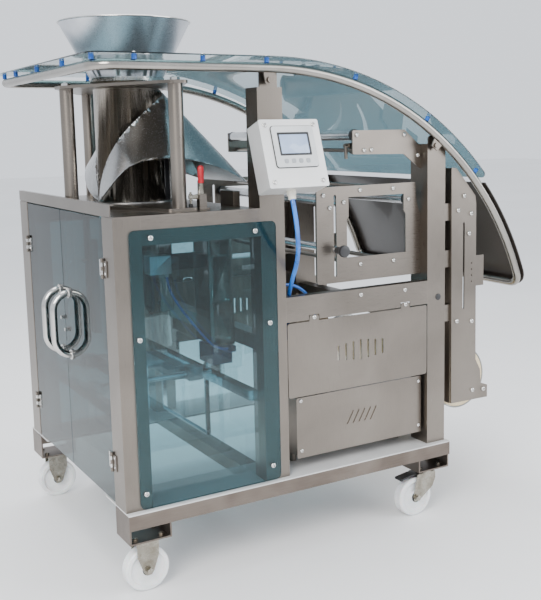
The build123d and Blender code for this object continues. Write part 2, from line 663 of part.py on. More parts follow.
with BuildPart() as upper_arms:
    for y in (feed_y, twin_y(feed_y) + feed_t):
        with BuildSketch(facing_front(y)) as outline:
            with BuildLine():
                Polyline((852, 1394), (1066, 1394), (1134, 1338), (1134, 1259), (1063, 1312), (852, 1316),
                         close=True)
            make_face()
            fillet(outline.vertices().sort_by(Axis.X)[:2], 4)
        extrude(amount=feed_t)
    for y0, y1 in ((feed_y - feed_t, feed_y + 24), (twin_y(feed_y) - 24, twin_y(feed_y) + feed_t)):
        block(right_x0 - 5, right_x0, y0, y1, 1262, 1338)
    rod(top_roller[0], middle, top_roller[1], 6, twin_y(feed_y) - feed_y, "y")
    rod(1064, middle, 1377, 9, twin_y(feed_y) - feed_y, "y")
    rod(893, middle, 1328, 7, twin_y(feed_y) - feed_y, "y")
    rod(893, 92, 1328, 13, 26, "y")
    block(868, 893, 80, 104, 1336, 1352)
    rod(868, 92, 1344, 7, 30, "x")
    rod(860, 92, 1322, 6, 44, "z")
save(upper_arms, "upper_arms")

roller_clear = 4.0


def roller(x, z, radius, name, y0=feed_y, y1=None):
    """A guide roller turning on its fixed shaft."""
    y1 = twin_y(y0) if y1 is None else y1
    with BuildPart() as body:
        rod(x, (y0 + y1) / 2, z, radius, y1 - y0 - 2 * roller_clear, "y")
        rod(x, (y0 + y1) / 2, z, 6.05, y1 - y0, "y", mode=Mode.SUBTRACT)
    save(body, name)


roller(*feed_rollers[0], "roller_feed_left")
roller(*feed_rollers[1], "roller_feed_right")
roller(*top_roller, "roller_top")

with BuildPart() as roller_adjust:
    rod(slot_x, middle, knob_z, 14, twin_y(feed_y) - feed_y - 2, "y")
    rod(slot_x, middle, knob_z, 4.7, twin_y(feed_y) - feed_y + 2 * feed_t + 20, "y")
    rod(slot_x, feed_y - feed_t - 6.2, knob_z, 13, 12, "y")
    rod(slot_x, feed_y - feed_t - 27, knob_z, 13, 30, "y")
    rod(slot_x, feed_y - feed_t - 47, knob_z, 20, 18, "y")
    rod(slot_x, twin_y(feed_y) + feed_t + 6.2, knob_z, 13, 12, "y")
save(roller_adjust, "roller_adjust")

arm_y0, arm_y1 = -6.0, 0.0
with BuildPart() as reel_arms:
    for mirrored in (False, True):
        y1 = arm_y1 if not mirrored else twin_y(arm_y0)
        with BuildSketch(facing_front(y1)) as outline:
            with BuildLine():
                Polyline((1236, 1260), (1258, 1258), (1346, 1158), (1350, 1130), (1354, 560), (1376, 520),
                         (1380, 468), (1412, 456), (1412, 410), (1240, 412), close=True)
            make_face()
            fillet(outline.vertices().group_by(Axis.Y)[-2], 12)
            with Locations((1294, 910)):
                SlotOverall(312, 8, rotation=90, mode=Mode.SUBTRACT)
            with Locations((1331, 884)):
                with GridLocations(0, 22, 1, 4):
                    Circle(2.6, mode=Mode.SUBTRACT)
        extrude(amount=6)
        inner = (0.0, 34.0) if not mirrored else (depth - 34.0, depth)
        block(1236, 1239, inner[0], inner[1], 412, 1258)
        for z in (1105, 940, 745):
            block(right_x1, 1237, inner[0] + 4, inner[1] - 4, z - 30, z + 30)
        tab = (10.0, 13.0) if not mirrored else (depth - 13.0, depth - 10.0)
        block(1330, 1402, tab[0], tab[1], 829, 940)
        block(1330, 1362, tab[0], tab[1], 735, 802)
        shim = (0.0, 10.0) if not mirrored else (depth - 10.0, depth)
        block(1330, 1344, shim[0], shim[1], 745, 935)
    rod(reel_x, middle, reel_z, 11.95, depth, "y")
    for x, z in ((1293, 1160), (1262, 713)):
        rod(x, middle, z, 6, depth, "y")
save(reel_arms, "reel_arms")

with BuildPart() as film_reel:
    rod(reel_x, middle, reel_z, reel_r - 6, film_w, "y")
    for y in (middle - film_w / 2 - 7, middle + film_w / 2 + 7):
        rod(reel_x, y, reel_z, reel_r, 14, "y")
    rod(reel_x, middle, reel_z, 12.0, film_w + 30, "y", mode=Mode.SUBTRACT)
save(film_reel, "film_reel")
roller(*unwind_roller, "roller_unwind", 6.0, 984.0)

# ---- inside the cabinet -------------------------------------------------------------------------
rod_y0, rod_y1 = tube_y - 189.0, tube_y + 189.0
rod_r = 10.0
leg_low = 368.0
with BuildPart() as jaw_rails:
    block(14, 40, post_y, depth - post_y, 545, 575)
    block(442, mid_x0 - 0.5, 40, depth - 40, 545, 575)
    for y in (rod_y0, rod_y1):
        rod(235, y, jaw_z, rod_r, 420, "x")
        block(16, 38, y - 20, y + 20, 575, 612)
        block(425, mid_x0 - 1, y - 24, y + 24, 575, 622)
        block(410, 425, y - 4, y + 4, leg_low, 622)
    rod(417, tube_y, leg_low, 7, rod_y1 - rod_y0, "y")
save(jaw_rails, "jaw_rails")

jaw_gap = 62.0
for name, way in (("jaw_left", -1), ("jaw_right", 1)):
    with BuildPart() as jaw:
        x0, x1 = sorted((tube_x + way * jaw_gap, tube_x + way * (jaw_gap + 40)))
        block(x0, x1, rod_y0 + 40, rod_y1 - 40, jaw_z - 25, jaw_z + 25)
        near, far = sorted((tube_x + way * jaw_gap, tube_x + way * (jaw_gap + 80)))
        for y in (rod_y0, rod_y1):
            inward = math.copysign(1, tube_y - y)
            inner0, inner1 = sorted((y + 22 * inward, y + 42 * inward))
            block(near, far, inner0, inner1, jaw_z - 22, jaw_z + 22)
            b0, b1 = sorted((tube_x + way * (jaw_gap + 32), tube_x + way * (jaw_gap + 80)))
            block(b0, b1, y - 22, y + 22, jaw_z - 22, jaw_z + 22)
            rod((b0 + b1) / 2, y, jaw_z, rod_r + 0.06, 60, "x", mode=Mode.SUBTRACT)
    save(jaw, name)

belt_x0, belt_x1, belt_low, belt_high = 230.0, 274.0, 805.0, 960.0
belt_w = 84.0
belt_gap = 3.0
guide_levels = (850.0, 915.0)
for name, way in (("belt_drive_front", -1), ("belt_drive_rear", 1)):
    centre_y = tube_y + way * (tube_r + belt_gap + belt_w / 2)
    with BuildPart() as belt_drive:
        for x0, x1, inset in ((belt_x0 + 6, belt_x1 - 6, 0.0), (belt_x0, belt_x1, 5.0)):
            with BuildSketch(facing_right(x0)):
                with Locations((centre_y, (belt_low + belt_high) / 2)):
                    SlotOverall(belt_high - belt_low - 2 * inset, belt_w - 2 * inset, rotation=90)
            extrude(amount=x1 - x0)
        for z in guide_levels:
            rod(tube_x, centre_y + way * 20, z, 6.05, 100, "y", mode=Mode.SUBTRACT)
    save(belt_drive, name)

with BuildPart() as inner_frame:
    for way in (-1, 1):
        y0, y1 = sorted((tube_y + way * 260, tube_y + way * 268))
        block(230, 274, y0, y1, 830, cabinet_top - sheet)
        for z in guide_levels:
            rod(tube_x, tube_y + way * 216, z, 6, 88, "y")
    block(86, 94, 470, 518, 740, cabinet_top - sheet)
    for z in (800, 980):
        rod(90, tube_y, z, 6.05, 12, "x", mode=Mode.SUBTRACT)
    block(392, 464, 200 + joint_gap, 320, 706, 1110)
    block(385, 472, 190, 200, 700, 1110)
    block(392, 464, 198, 300, 636, 700 - joint_gap)
    block(178, 250, 178, 226, 958, 1016)
    block(205, 392 - joint_gap, 226 + joint_gap, 232, 962, 1014)
    for x in (400, 456):
        for z in (720, 850, 1000):
            rod(x, 188, z, 7, 6, "y")
    rod(240, 196, 952, 7, 12, "z")
    block(446, 464, 168, 198, 679, 699)
    rod(443, 178, 690, 6, 10, "x")
save(inner_frame, "inner_frame")

with BuildPart() as seal_bar:
    block(100, 122, tube_y - 10, tube_y + 10, 730, 1050)
    for z in (800, 980):
        rod(85, tube_y, z, 6, 32, "x")
save(seal_bar, "seal_bar")

# ---- castors ------------------------------------------------------------------------------------
fork_in, fork_t = 24.0, 3.0
axle_r = 6.0
crown_z0, crown_z1 = 155.0, 167.0
with BuildPart() as castor_mounts:
    for y in (castor_y, twin_y(castor_y)):
        block(left_castor_x - 52, left_castor_x + 52, y - 42, y + 42, box_bottom - 4, box_bottom)
        for y0 in (y - fork_in - fork_t, y + fork_in):
            with BuildSketch(facing_front(y0 + fork_t)):
                with BuildLine():
                    Polyline((left_castor_x - 36, box_bottom - 4), (left_castor_x + 36, box_bottom - 4),
                             (left_castor_x + 34, 126), (left_castor_x + 17, 78), (left_castor_x + 8, 66),
                             (left_castor_x - 8, 66), (left_castor_x - 17, 78), (left_castor_x - 34, 126),
                             close=True)
                make_face()
            extrude(amount=fork_t)
        block(left_castor_x - 36, left_castor_x + 36, y - fork_in, y + fork_in, box_bottom - 9, box_bottom - 4)
        rod(left_castor_x, y, axle_z, axle_r, 2 * (fork_in + fork_t), "y")
        for side in (-1, 1):
            rod(left_castor_x, y + side * (fork_in + fork_t + 3), axle_z, 9, 6, "y")
        block(right_castor_x - 52, right_castor_x + 52, y - 42, y + 42, box_bottom - 4, box_bottom)
        rod(right_castor_x, y, (crown_z1 + 1 + box_bottom - 4) / 2, 30, box_bottom - 4 - crown_z1 - 1, "z")
        rod(right_castor_x, y, crown_z1 - 5, 7, 16, "z")
save(castor_mounts, "castor_mounts")

for name, x, y in (("front_left", left_castor_x, castor_y), ("rear_left", left_castor_x, twin_y(castor_y)),
                   ("front_right", right_castor_x - trail, castor_y),
                   ("rear_right", right_castor_x - trail, twin_y(castor_y))):
    with BuildPart() as wheel:
        with BuildSketch(Plane(origin=spot(x, y, axle_z), x_dir=(0, 1, 0), z_dir=(1, 0, 0))):
            with BuildLine():
                Polyline((-22, axle_r + 0.05), (-22, 19), (-14, 23), (-12, 46), (-15, 53), (-20, 56),
                         (-20, wheel_r - 4), (-16, wheel_r), (16, wheel_r), (20, wheel_r - 4), (20, 56),
                         (15, 53), (12, 46), (14, 23), (22, 19), (22, axle_r + 0.05), close=True)
            make_face()
        revolve(axis=Axis(spot(x, y, axle_z), (0, 1, 0)))
    save(wheel, f"wheel_{name}")

pedal_x, pedal_z = 1106.0, 162.0
for name, y in (("front", castor_y), ("rear", twin_y(castor_y))):
    axle_x = right_castor_x - trail
    with BuildPart() as swivel_fork:
        block(1119, 1180, y - fork_in - fork_t, y + fork_in + fork_t, crown_z0, crown_z1)
        for y0 in (y - fork_in - fork_t, y + fork_in):
            with BuildSketch(facing_front(y0 + fork_t)):
                with BuildLine():
                    Polyline((1100, crown_z1), (1180, crown_z1), (1181, 142), (1168, 112), (axle_x + 12, 70),
                             (axle_x - 10, 68), (axle_x - 16, 86), (1094, 134), close=True)
                make_face()
            extrude(amount=fork_t)
        rod(axle_x, y, axle_z, axle_r, 2 * (fork_in + fork_t), "y")
        for side in (-1, 1):
            rod(axle_x, y + side * (fork_in + fork_t + 3), axle_z, 9, 6, "y")
        rod(pedal_x, y, pedal_z, 4, 2 * fork_in, "y")
        rod(right_castor_x, y, crown_z1 - 5, 7.06, 24, "z", mode=Mode.SUBTRACT)
    save(swivel_fork, f"swivel_fork_{name}")
    with BuildPart() as brake_pedal:
        with BuildSketch(facing_front(y + 19)):
            with BuildLine():
                Polyline((pedal_x + 8, pedal_z + 6), (pedal_x - 20, pedal_z + 6), (pedal_x - 74, pedal_z - 2),
                         (pedal_x - 74, pedal_z - 9), (pedal_x - 66, pedal_z - 9), (pedal_x - 64, pedal_z - 5),
                         (pedal_x - 18, pedal_z + 1), (pedal_x - 7, pedal_z - 6), (pedal_x + 6, pedal_z - 6),
                         close=True)
            make_face()
            with Locations((pedal_x, pedal_z)):
                Circle(4.06, mode=Mode.SUBTRACT)
        extrude(amount=38)
    save(brake_pedal, f"brake_pedal_{name}")

# ---- toggle clamps ------------------------------------------------------------------------------
plate_top = plate_low + plate_t
clamp_rows = (("front", 100.0), ("rear", twin_y(100.0)))
for name, y in clamp_rows:
    with BuildPart() as lever:
        with BuildSketch(facing_front(y + 5)):
            with BuildLine():
                Polyline((clamp_x - 9, clamp_z - 7), (clamp_x + 9, clamp_z - 7), (clamp_x + 7, clamp_z + 45),
                         (clamp_x - 4, clamp_z + 45), (clamp_x - 9, clamp_z + 9), (clamp_x - 43, clamp_z + 6),
                         (clamp_x - 43, clamp_z - 5), close=True)
            make_face()
            with Locations((clamp_x, clamp_z)):
                Circle(4.06, mode=Mode.SUBTRACT)
        extrude(amount=10)
        rod(clamp_x + 1.5, y, clamp_z + 70, 10, 52, "z")
        rod(clamp_x - 35, y, clamp_z - 2, 3.5, 44, "z")
        rod(clamp_x - 35, y, plate_top + 5.2, 6.5, 9, "z")
    save(lever, f"clamp_lever_{name}")

# ---- screws -------------------------------------------------------------------------------------
window_screws = ((110.0, 1097.0), (454.0, 1094.0), (64.0, 800.0), (499.0, 800.0), (64.0, 330.0), (499.0, 331.0))
with BuildPart() as panel_screws:
    dome_screws(window_screws, -0.1 - window_t)
    dome_screws(((667, 797), (1038, 798), (852, 851), (1036, 849)), 0.0, 8, 6)
    dome_screws(((625, 516), (1115, 508), (626, 345), (1115, 346)), box_y0, 7, 3)
    dome_screws(((733, 1186), (758, 1144), (813, 1160), (879, 1197), (1016, 1197), (1083, 1157), (878, 948),
                 (1017, 949), (869, 1379), (1064, 1377), (897, 1328), (927, 1329), (1122, 1306)),
                feed_y - feed_t, 8, 7)
    dome_screws(((1293, 1160), (1266, 1110), (1326, 1096), (1317, 1025), (1262, 713), (1331, 706),
                 (1338, 448), (1390, 444)), arm_y0, 9, 9)
    dome_screws(((1182, 809),), 0.0, 9, 4)
    for x, down in ((18, 16), (185, 16), (185, 191), (18, 191)):
        with Locations(on_face(x, down)):
            Cylinder(7, 2, align=(Align.CENTER, Align.CENTER, Align.MIN))
    on_every_spacer(cap_head)
    for y in (rail_y, twin_y(rail_y)):
        for tilt in (54.0, 61.0, 68.0):
            x, z = on_arc(tail_r + tail_t, tilt)
            with Locations(Location(spot(x, y, z), (0, tilt, 0))):
                Cylinder(7, 4, align=(Align.CENTER, Align.CENTER, Align.MIN))
save(panel_screws, "panel_screws")

# ---- cords --------------------------------------------------------------------------------------


def cord_radii(points, share=0.45):
    """The largest arc at each corner that its two runs allow."""
    radii = []
    for before, here, after in zip(points, points[1:], points[2:]):
        turn = (here - before).get_angle(after - here)
        shorter = min((here - before).length, (after - here).length)
        radii.append(share * shorter / math.tan(math.radians(turn) / 2))
    return radii


def cord(points, diameter, name):
    """A bendy tube of straight runs joined by tangent arcs."""
    radii = cord_radii(points)
    with BuildPart() as tube:
        with BuildLine() as path:
            FilletPolyline(*points, radius=radii)
        with BuildSketch(Plane(origin=path.line @ 0, z_dir=path.line % 0)):
            Circle(diameter / 2)
        sweep(path=path.line)
    length = path.wires()[0].length
    ratio = tube.part.volume / (math.pi * diameter ** 2 / 4 * length)
    print(name, "length", round(length), "volume ratio", round(ratio, 4), "radii", [round(r) for r in radii])
    save(tube, name)


gland_end = (on_face(94, face_h + 24, -46)).position
gland_out = (on_face(94, face_h + 60, -46)).position
hmi_points = [gland_end, gland_out] + [spot(*p) for p in (
    (532, -128, 1110), (554, -98, 1040), (578, -45, 982), (594, 10, 930), (602, 52, 868),
    (604, 68, 795), (612, 72, 715), (628, 75, 645), (640, 77, 590), (640, 77, 549))]
cord(hmi_points, 14.0, "hmi_cable")
cord([spot(*p) for p in ((583, 50, 905), (606, 50, 904), (640, 54, 892), (676, 61, 866), (705, 68, 826),
                         (722, 73, 774), (732, 76, 710), (737, 78, 640), (738, 80, 585), (738, 80, 545))],
     10.0, "air_hose")
cord([spot(*p) for p in ((240, 196, 946), (244, 195, 912), (262, 190, 872), (286, 185, 832), (313, 181, 794),
                         (343, 179, 756), (374, 178, 718), (406, 178, 693), (438, 178, 690))], 8.0, "valve_hose")
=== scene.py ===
"""The vertical form fill sealer's finishes and fine pieces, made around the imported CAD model."""
import math

import bpy
from mathutils import Euler, Matrix, Vector


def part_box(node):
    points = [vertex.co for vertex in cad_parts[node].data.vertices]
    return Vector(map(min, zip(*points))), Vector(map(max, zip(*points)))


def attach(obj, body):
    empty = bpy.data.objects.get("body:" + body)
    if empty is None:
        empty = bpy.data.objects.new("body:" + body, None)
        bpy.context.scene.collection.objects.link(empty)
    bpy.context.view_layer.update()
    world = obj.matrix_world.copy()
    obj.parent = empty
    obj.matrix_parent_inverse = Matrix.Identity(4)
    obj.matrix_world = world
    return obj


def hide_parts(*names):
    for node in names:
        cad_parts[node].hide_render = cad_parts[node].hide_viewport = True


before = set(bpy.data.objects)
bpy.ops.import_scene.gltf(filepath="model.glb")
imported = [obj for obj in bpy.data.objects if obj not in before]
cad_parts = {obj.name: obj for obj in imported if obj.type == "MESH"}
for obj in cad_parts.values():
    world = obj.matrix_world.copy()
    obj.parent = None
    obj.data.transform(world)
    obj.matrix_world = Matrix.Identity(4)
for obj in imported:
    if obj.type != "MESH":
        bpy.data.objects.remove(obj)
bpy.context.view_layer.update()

# ---- standpoint and studio -------------------------------------------------------------------
# The machine stands on a plain pale floor, lit by soft boxes from the front left and from above.
# Every place below is counted from the cabinet's front left corner, in metres, and upward from a
# level 280 mm under the posts' feet.
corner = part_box("cabinet_posts")[0] - Vector((0, 0, 0.280))


def at(x, y, z):
    """A place counted to the right, to the rear and up from the cabinet's front left corner."""
    return corner + Vector((x, y, z))


yaw, pitch, roll = math.radians(30.99), math.radians(8.629), math.radians(-1.072)
bpy.ops.object.select_all(action="DESELECT")
bpy.ops.object.camera_add(location=at(-0.908, -2.534, 1.390))
camera = bpy.context.object
aim = Euler((math.pi / 2 - pitch, 0, -yaw)).to_matrix() @ Matrix.Rotation(roll, 3, "Z")
camera.rotation_euler = aim.to_euler()
camera.data.sensor_width = 36
camera.data.lens = 56.14
camera.data.shift_x = -0.0482
camera.data.shift_y = -0.0422
bpy.context.scene.camera = camera


def soft_box(name, place, target, size, power, colour):
    """One square studio light, aimed at a place on the machine."""
    bpy.ops.object.light_add(type="AREA", location=place)
    lamp = bpy.context.object
    lamp.name = name
    lamp.data.size = size
    lamp.data.energy = power
    lamp.data.color = colour
    lamp.rotation_euler = (target - place).to_track_quat("-Z", "Y").to_euler()


soft_box("key_light", at(-2.6, -2.6, 3.4), at(0.5, 0.4, 0.9), 2.2, 230, (1.0, 0.97, 0.93))
soft_box("fill_light", at(3.4, -2.6, 2.2), at(0.7, 0.4, 0.8), 2.6, 80, (0.95, 0.97, 1.0))
soft_box("top_light", at(0.4, 1.0, 4.2), at(0.5, 0.5, 1.0), 2.8, 130, (1.0, 1.0, 1.0))
studio = bpy.data.worlds.new("studio")
studio.use_nodes = True
studio.node_tree.nodes["Background"].inputs["Color"].default_value = (0.80, 0.84, 0.90, 1)
studio.node_tree.nodes["Background"].inputs["Strength"].default_value = 1.5
bpy.context.scene.world = studio

# ---- finishes --------------------------------------------------------------------------------
# Every finish is built from one grain group and one edge group of wear and painted highlight, so
# that sheet metal, plastic and rubber differ only in their colours, the direction and size of their
# grain, and their gloss.


def make_grain_group():
    """Fine grain, stretched along the brushing, and slow clouds over the whole surface."""
    group = bpy.data.node_groups.new("grain", "ShaderNodeTree")
    face = group.interface
    face.new_socket("Place", in_out="INPUT", socket_type="NodeSocketVector")
    face.new_socket("Stretch", in_out="INPUT", socket_type="NodeSocketVector")
    face.new_socket("Fineness", in_out="INPUT", socket_type="NodeSocketFloat")
    face.new_socket("Cloud Size", in_out="INPUT", socket_type="NodeSocketFloat")
    for name in ("Grain", "Cloud", "Height"):
        face.new_socket(name, in_out="OUTPUT", socket_type="NodeSocketFloat")
    nodes, links = group.nodes, group.links
    entry, leave = nodes.new("NodeGroupInput"), nodes.new("NodeGroupOutput")
    pulled = nodes.new("ShaderNodeVectorMath")
    pulled.operation = "MULTIPLY"
    links.new(entry.outputs["Place"], pulled.inputs[0])
    links.new(entry.outputs["Stretch"], pulled.inputs[1])
    fine = nodes.new("ShaderNodeTexNoise")
    fine.inputs["Detail"].default_value = 5
    fine.inputs["Roughness"].default_value = 0.65
    links.new(pulled.outputs[0], fine.inputs["Vector"])
    links.new(entry.outputs["Fineness"], fine.inputs["Scale"])
    slow = nodes.new("ShaderNodeTexNoise")
    slow.inputs["Detail"].default_value = 3
    slow.inputs["Distortion"].default_value = 0.6
    links.new(entry.outputs["Place"], slow.inputs["Vector"])
    links.new(entry.outputs["Cloud Size"], slow.inputs["Scale"])
    height = nodes.new("ShaderNodeMath")
    height.operation = "MULTIPLY_ADD"
    height.inputs[1].default_value = 0.35
    links.new(fine.outputs["Fac"], height.inputs[0])
    links.new(slow.outputs["Fac"], height.inputs[2])
    links.new(fine.outputs["Fac"], leave.inputs["Grain"])
    links.new(slow.outputs["Fac"], leave.inputs["Cloud"])
    links.new(height.outputs[0], leave.inputs["Height"])
    return group


def make_edge_group():
    """A mask that is bright along outer edges: wear where handling rubs the surface, and a painted highlight
    where light would catch a rounded edge.
    """
    group = bpy.data.node_groups.new("wear_and_edge_highlight", "ShaderNodeTree")
    group.interface.new_socket("Width", in_out="INPUT", socket_type="NodeSocketFloat")
    group.interface.new_socket("Edge", in_out="OUTPUT", socket_type="NodeSocketFloat")
    nodes, links = group.nodes, group.links
    entry, leave = nodes.new("NodeGroupInput"), nodes.new("NodeGroupOutput")
    rounded = nodes.new("ShaderNodeBevel")
    rounded.samples = 4
    links.new(entry.outputs["Width"], rounded.inputs["Radius"])
    flat = nodes.new("ShaderNodeNewGeometry")
    across = nodes.new("ShaderNodeVectorMath")
    across.operation = "DOT_PRODUCT"
    links.new(rounded.outputs["Normal"], across.inputs[0])
    links.new(flat.outputs["True Normal"], across.inputs[1])
    mask = nodes.new("ShaderNodeMapRange")
    mask.inputs["From Min"].default_value = 0.995
    mask.inputs["From Max"].default_value = 0.85
    links.new(across.outputs["Value"], mask.inputs["Value"])
    links.new(mask.outputs["Result"], leave.inputs["Edge"])
    return group


grain_group = make_grain_group()
edge_group = make_edge_group()


def finish(name, dark, light, rough, stretch=(1, 1, 1), fineness=220, clouds=3.0, bump=0.05,
           edge=0.35, edge_width=0.0012, edge_colour=None, **constants):
    """A procedural finish: two shades clouded together, grain in the gloss, and paler edges of wear and
    painted highlight.
    """
    material = bpy.data.materials.new(name)
    material.use_nodes = True
    nodes, links = material.node_tree.nodes, material.node_tree.links
    shader = nodes["Principled BSDF"]
    for key, value in constants.items():
        socket = "IOR" if key == "ior" else key.replace("_", " ").title()
        shader.inputs[socket].default_value = value
    place = nodes.new("ShaderNodeTexCoord")
    grain = nodes.new("ShaderNodeGroup")
    grain.node_tree = grain_group
    links.new(place.outputs["Object"], grain.inputs["Place"])
    grain.inputs["Stretch"].default_value = stretch
    grain.inputs["Fineness"].default_value = fineness
    grain.inputs["Cloud Size"].default_value = clouds
    shades = nodes.new("ShaderNodeMix")
    shades.data_type = "RGBA"
    shades.inputs["A"].default_value = (*dark, 1)
    shades.inputs["B"].default_value = (*light, 1)
    spread = nodes.new("ShaderNodeMapRange")
    spread.inputs["From Min"].default_value = 0.47
    spread.inputs["From Max"].default_value = 0.88
    links.new(grain.outputs["Height"], spread.inputs["Value"])
    links.new(spread.outputs["Result"], shades.inputs["Factor"])
    # The edge mask marks both rubbed wear and a painted highlight along outer edges.
    wear_and_highlight = nodes.new("ShaderNodeGroup")
    wear_and_highlight.node_tree = edge_group
    wear_and_highlight.inputs["Width"].default_value = edge_width
    share = nodes.new("ShaderNodeMath")
    share.operation = "MULTIPLY"
    share.inputs[1].default_value = edge
    links.new(wear_and_highlight.outputs["Edge"], share.inputs[0])
    # Paler edge colour: wear plus a painted highlight; on clear sheet it is a dark painted shade instead.
    paler = nodes.new("ShaderNodeMix")
    paler.data_type = "RGBA"
    paler.inputs["B"].default_value = (*(edge_colour or [min(1.0, 1.5 * c + 0.06) for c in light]), 1)
    links.new(shades.outputs["Result"], paler.inputs["A"])
    links.new(share.outputs[0], paler.inputs["Factor"])
    links.new(paler.outputs["Result"], shader.inputs["Base Color"])
    gloss = nodes.new("ShaderNodeMapRange")
    gloss.inputs["From Min"].default_value = 0.3
    gloss.inputs["From Max"].default_value = 0.7
    gloss.inputs["To Min"].default_value = rough[0]
    gloss.inputs["To Max"].default_value = rough[1]
    links.new(grain.outputs["Grain"], gloss.inputs["Value"])
    links.new(gloss.outputs["Result"], shader.inputs["Roughness"])
    relief = nodes.new("ShaderNodeBump")
    relief.inputs["Strength"].default_value = bump
    relief.inputs["Distance"].default_value = 0.001
    links.new(grain.outputs["Height"], relief.inputs["Height"])
    links.new(relief.outputs["Normal"], shader.inputs["Normal"])
    return material


def clear_finish(name, tint, see_through, edge_colour, ior=1.42):
    """Tinted clear sheet: faint clouds in how much it lets through, and polished edges painted dark and solid
    as painted shade, for the light bent away at a sheet's edge.
    """
    material = finish(name, tint, [min(1.0, c * 1.08) for c in tint], (0.0, 0.008), fineness=30, clouds=1.7,
                      bump=0.0, edge=0.95, edge_width=0.004, edge_colour=edge_colour, transmission_weight=1.0,
                      ior=ior)
    nodes, links = material.node_tree.nodes, material.node_tree.links
    clouded = nodes.new("ShaderNodeMapRange")
    clouded.inputs["To Min"].default_value = 1 - see_through - 0.03
    clouded.inputs["To Max"].default_value = 1 - see_through + 0.03
    solid = nodes.new("ShaderNodeMath")
    solid.use_clamp = True
    groups = {n.node_tree: n for n in nodes if n.type == "GROUP"}
    links.new(groups[grain_group].outputs["Cloud"], clouded.inputs["Value"])
    links.new(clouded.outputs["Result"], solid.inputs[0])
    # The edge mask also makes the edges solid, so their painted shade shows.
    links.new(groups[edge_group].outputs["Edge"], solid.inputs[1])
    links.new(solid.outputs[0], nodes["Principled BSDF"].inputs["Alpha"])
    return material


def give(material, *names):
    """Put a finish on carried-over CAD nodes."""
    for name in names:
        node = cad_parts[name]
        if not node.material_slots:
            node.data.materials.append(material)
        for slot in node.material_slots:
            slot.material = material


warm_dark, warm_light = (0.178, 0.156, 0.134), (0.242, 0.214, 0.186)
upright_steel = finish("upright_brushed_steel", warm_dark, warm_light, (0.26, 0.38), stretch=(1, 1, 0.03),
                       fineness=900, metallic=1.0)
level_steel = finish("level_brushed_steel", warm_dark, warm_light, (0.25, 0.36), stretch=(0.03, 1, 1),
                     fineness=900, metallic=1.0)
polished_steel = finish("polished_steel", (0.52, 0.51, 0.49), (0.66, 0.65, 0.63), (0.08, 0.18),
                        stretch=(1, 1, 0.2), fineness=260, bump=0.02, metallic=1.0)

# ---- cords -----------------------------------------------------------------------------------
# Three plain blue plastic hoses: the operator box's cable in its conduit, the air supply to the
# lower box, and a thin air line between two fittings inside the cabinet.
blue_hose = finish("blue_hose", (0.012, 0.10, 0.42), (0.03, 0.20, 0.68), (0.22, 0.38), fineness=60, clouds=12,
                   bump=0.08, edge=0.0, coat_weight=0.25)


def hose(name, points, diameter):
    """A hose along its route, as one smooth curve."""
    curve = bpy.data.curves.new(name, "CURVE")
    curve.dimensions = "3D"
    route = curve.splines.new("NURBS")
    route.points.add(len(points) - 1)
    for point, place in zip(route.points, points):
        point.co = (*place, 1)
    route.order_u = 3
    route.use_endpoint_u = True
    curve.resolution_u = 10
    curve.bevel_depth = diameter / 2
    curve.bevel_resolution = 5
    curve.use_fill_caps = True
    curve.materials.append(blue_hose)
    piece = bpy.data.objects.new(name + "_run", curve)
    bpy.context.scene.collection.objects.link(piece)
    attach(piece, "frame")
    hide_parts(name)


face_tilt = math.radians(18.5)
face_corner = at(0.427, -0.0925, 1.429)


def on_face(x, down, out=0.0):
    """A place on the operator box's sloping face: across, down from its top edge, and out."""
    return face_corner + Vector((x, -down * math.sin(face_tilt) - out * math.cos(face_tilt),
                                 -down * math.cos(face_tilt) + out * math.sin(face_tilt)))


hose("hmi_cable", [on_face(0.094, 0.232, -0.046), on_face(0.094, 0.268, -0.046), at(0.532, -0.128, 1.110),
                   at(0.554, -0.098, 1.040), at(0.578, -0.045, 0.982), at(0.594, 0.010, 0.930),
                   at(0.602, 0.052, 0.868), at(0.604, 0.068, 0.795), at(0.612, 0.072, 0.715),
                   at(0.628, 0.075, 0.645), at(0.640, 0.077, 0.590), at(0.640, 0.077, 0.549)], 0.014)
hose("air_hose", [at(0.583, 0.050, 0.905), at(0.606, 0.050, 0.904), at(0.640, 0.054, 0.892),
                  at(0.676, 0.061, 0.866), at(0.705, 0.068, 0.826), at(0.722, 0.073, 0.774),
                  at(0.732, 0.076, 0.710), at(0.737, 0.078, 0.640), at(0.738, 0.080, 0.585),
                  at(0.738, 0.080, 0.545)], 0.010)
hose("valve_hose", [at(0.240, 0.196, 0.946), at(0.244, 0.195, 0.912), at(0.262, 0.190, 0.872),
                    at(0.286, 0.185, 0.832), at(0.313, 0.181, 0.794), at(0.343, 0.179, 0.756),
                    at(0.374, 0.178, 0.718), at(0.406, 0.178, 0.693), at(0.438, 0.178, 0.690)], 0.008)

# ---- base and castors ------------------------------------------------------------------------
# Folded and welded steel channels with grey painted shelves on top. The castors have white nylon
# wheels in zinc plated forks; the right hand pair swivels and has black brake pedals.
base_steel = finish("base_steel", (0.13, 0.105, 0.088), (0.23, 0.195, 0.168), (0.30, 0.48),
                    stretch=(0.04, 1, 1),
                    fineness=380, clouds=5, metallic=1.0)
shelf_grey = finish("shelf_grey_paint", (0.50, 0.50, 0.50), (0.62, 0.62, 0.61), (0.38, 0.52), fineness=900,
                    clouds=6, bump=0.12, edge=0.25)
zinc_plate = finish("zinc_plate", (0.24, 0.215, 0.17), (0.40, 0.38, 0.33), (0.20, 0.36), fineness=90,
                    clouds=22,
                    metallic=1.0)
white_nylon = finish("white_nylon", (0.70, 0.72, 0.73), (0.86, 0.87, 0.87), (0.28, 0.42), fineness=160,
                     clouds=14,
                     bump=0.06, edge=0.1, subsurface_weight=0.12)
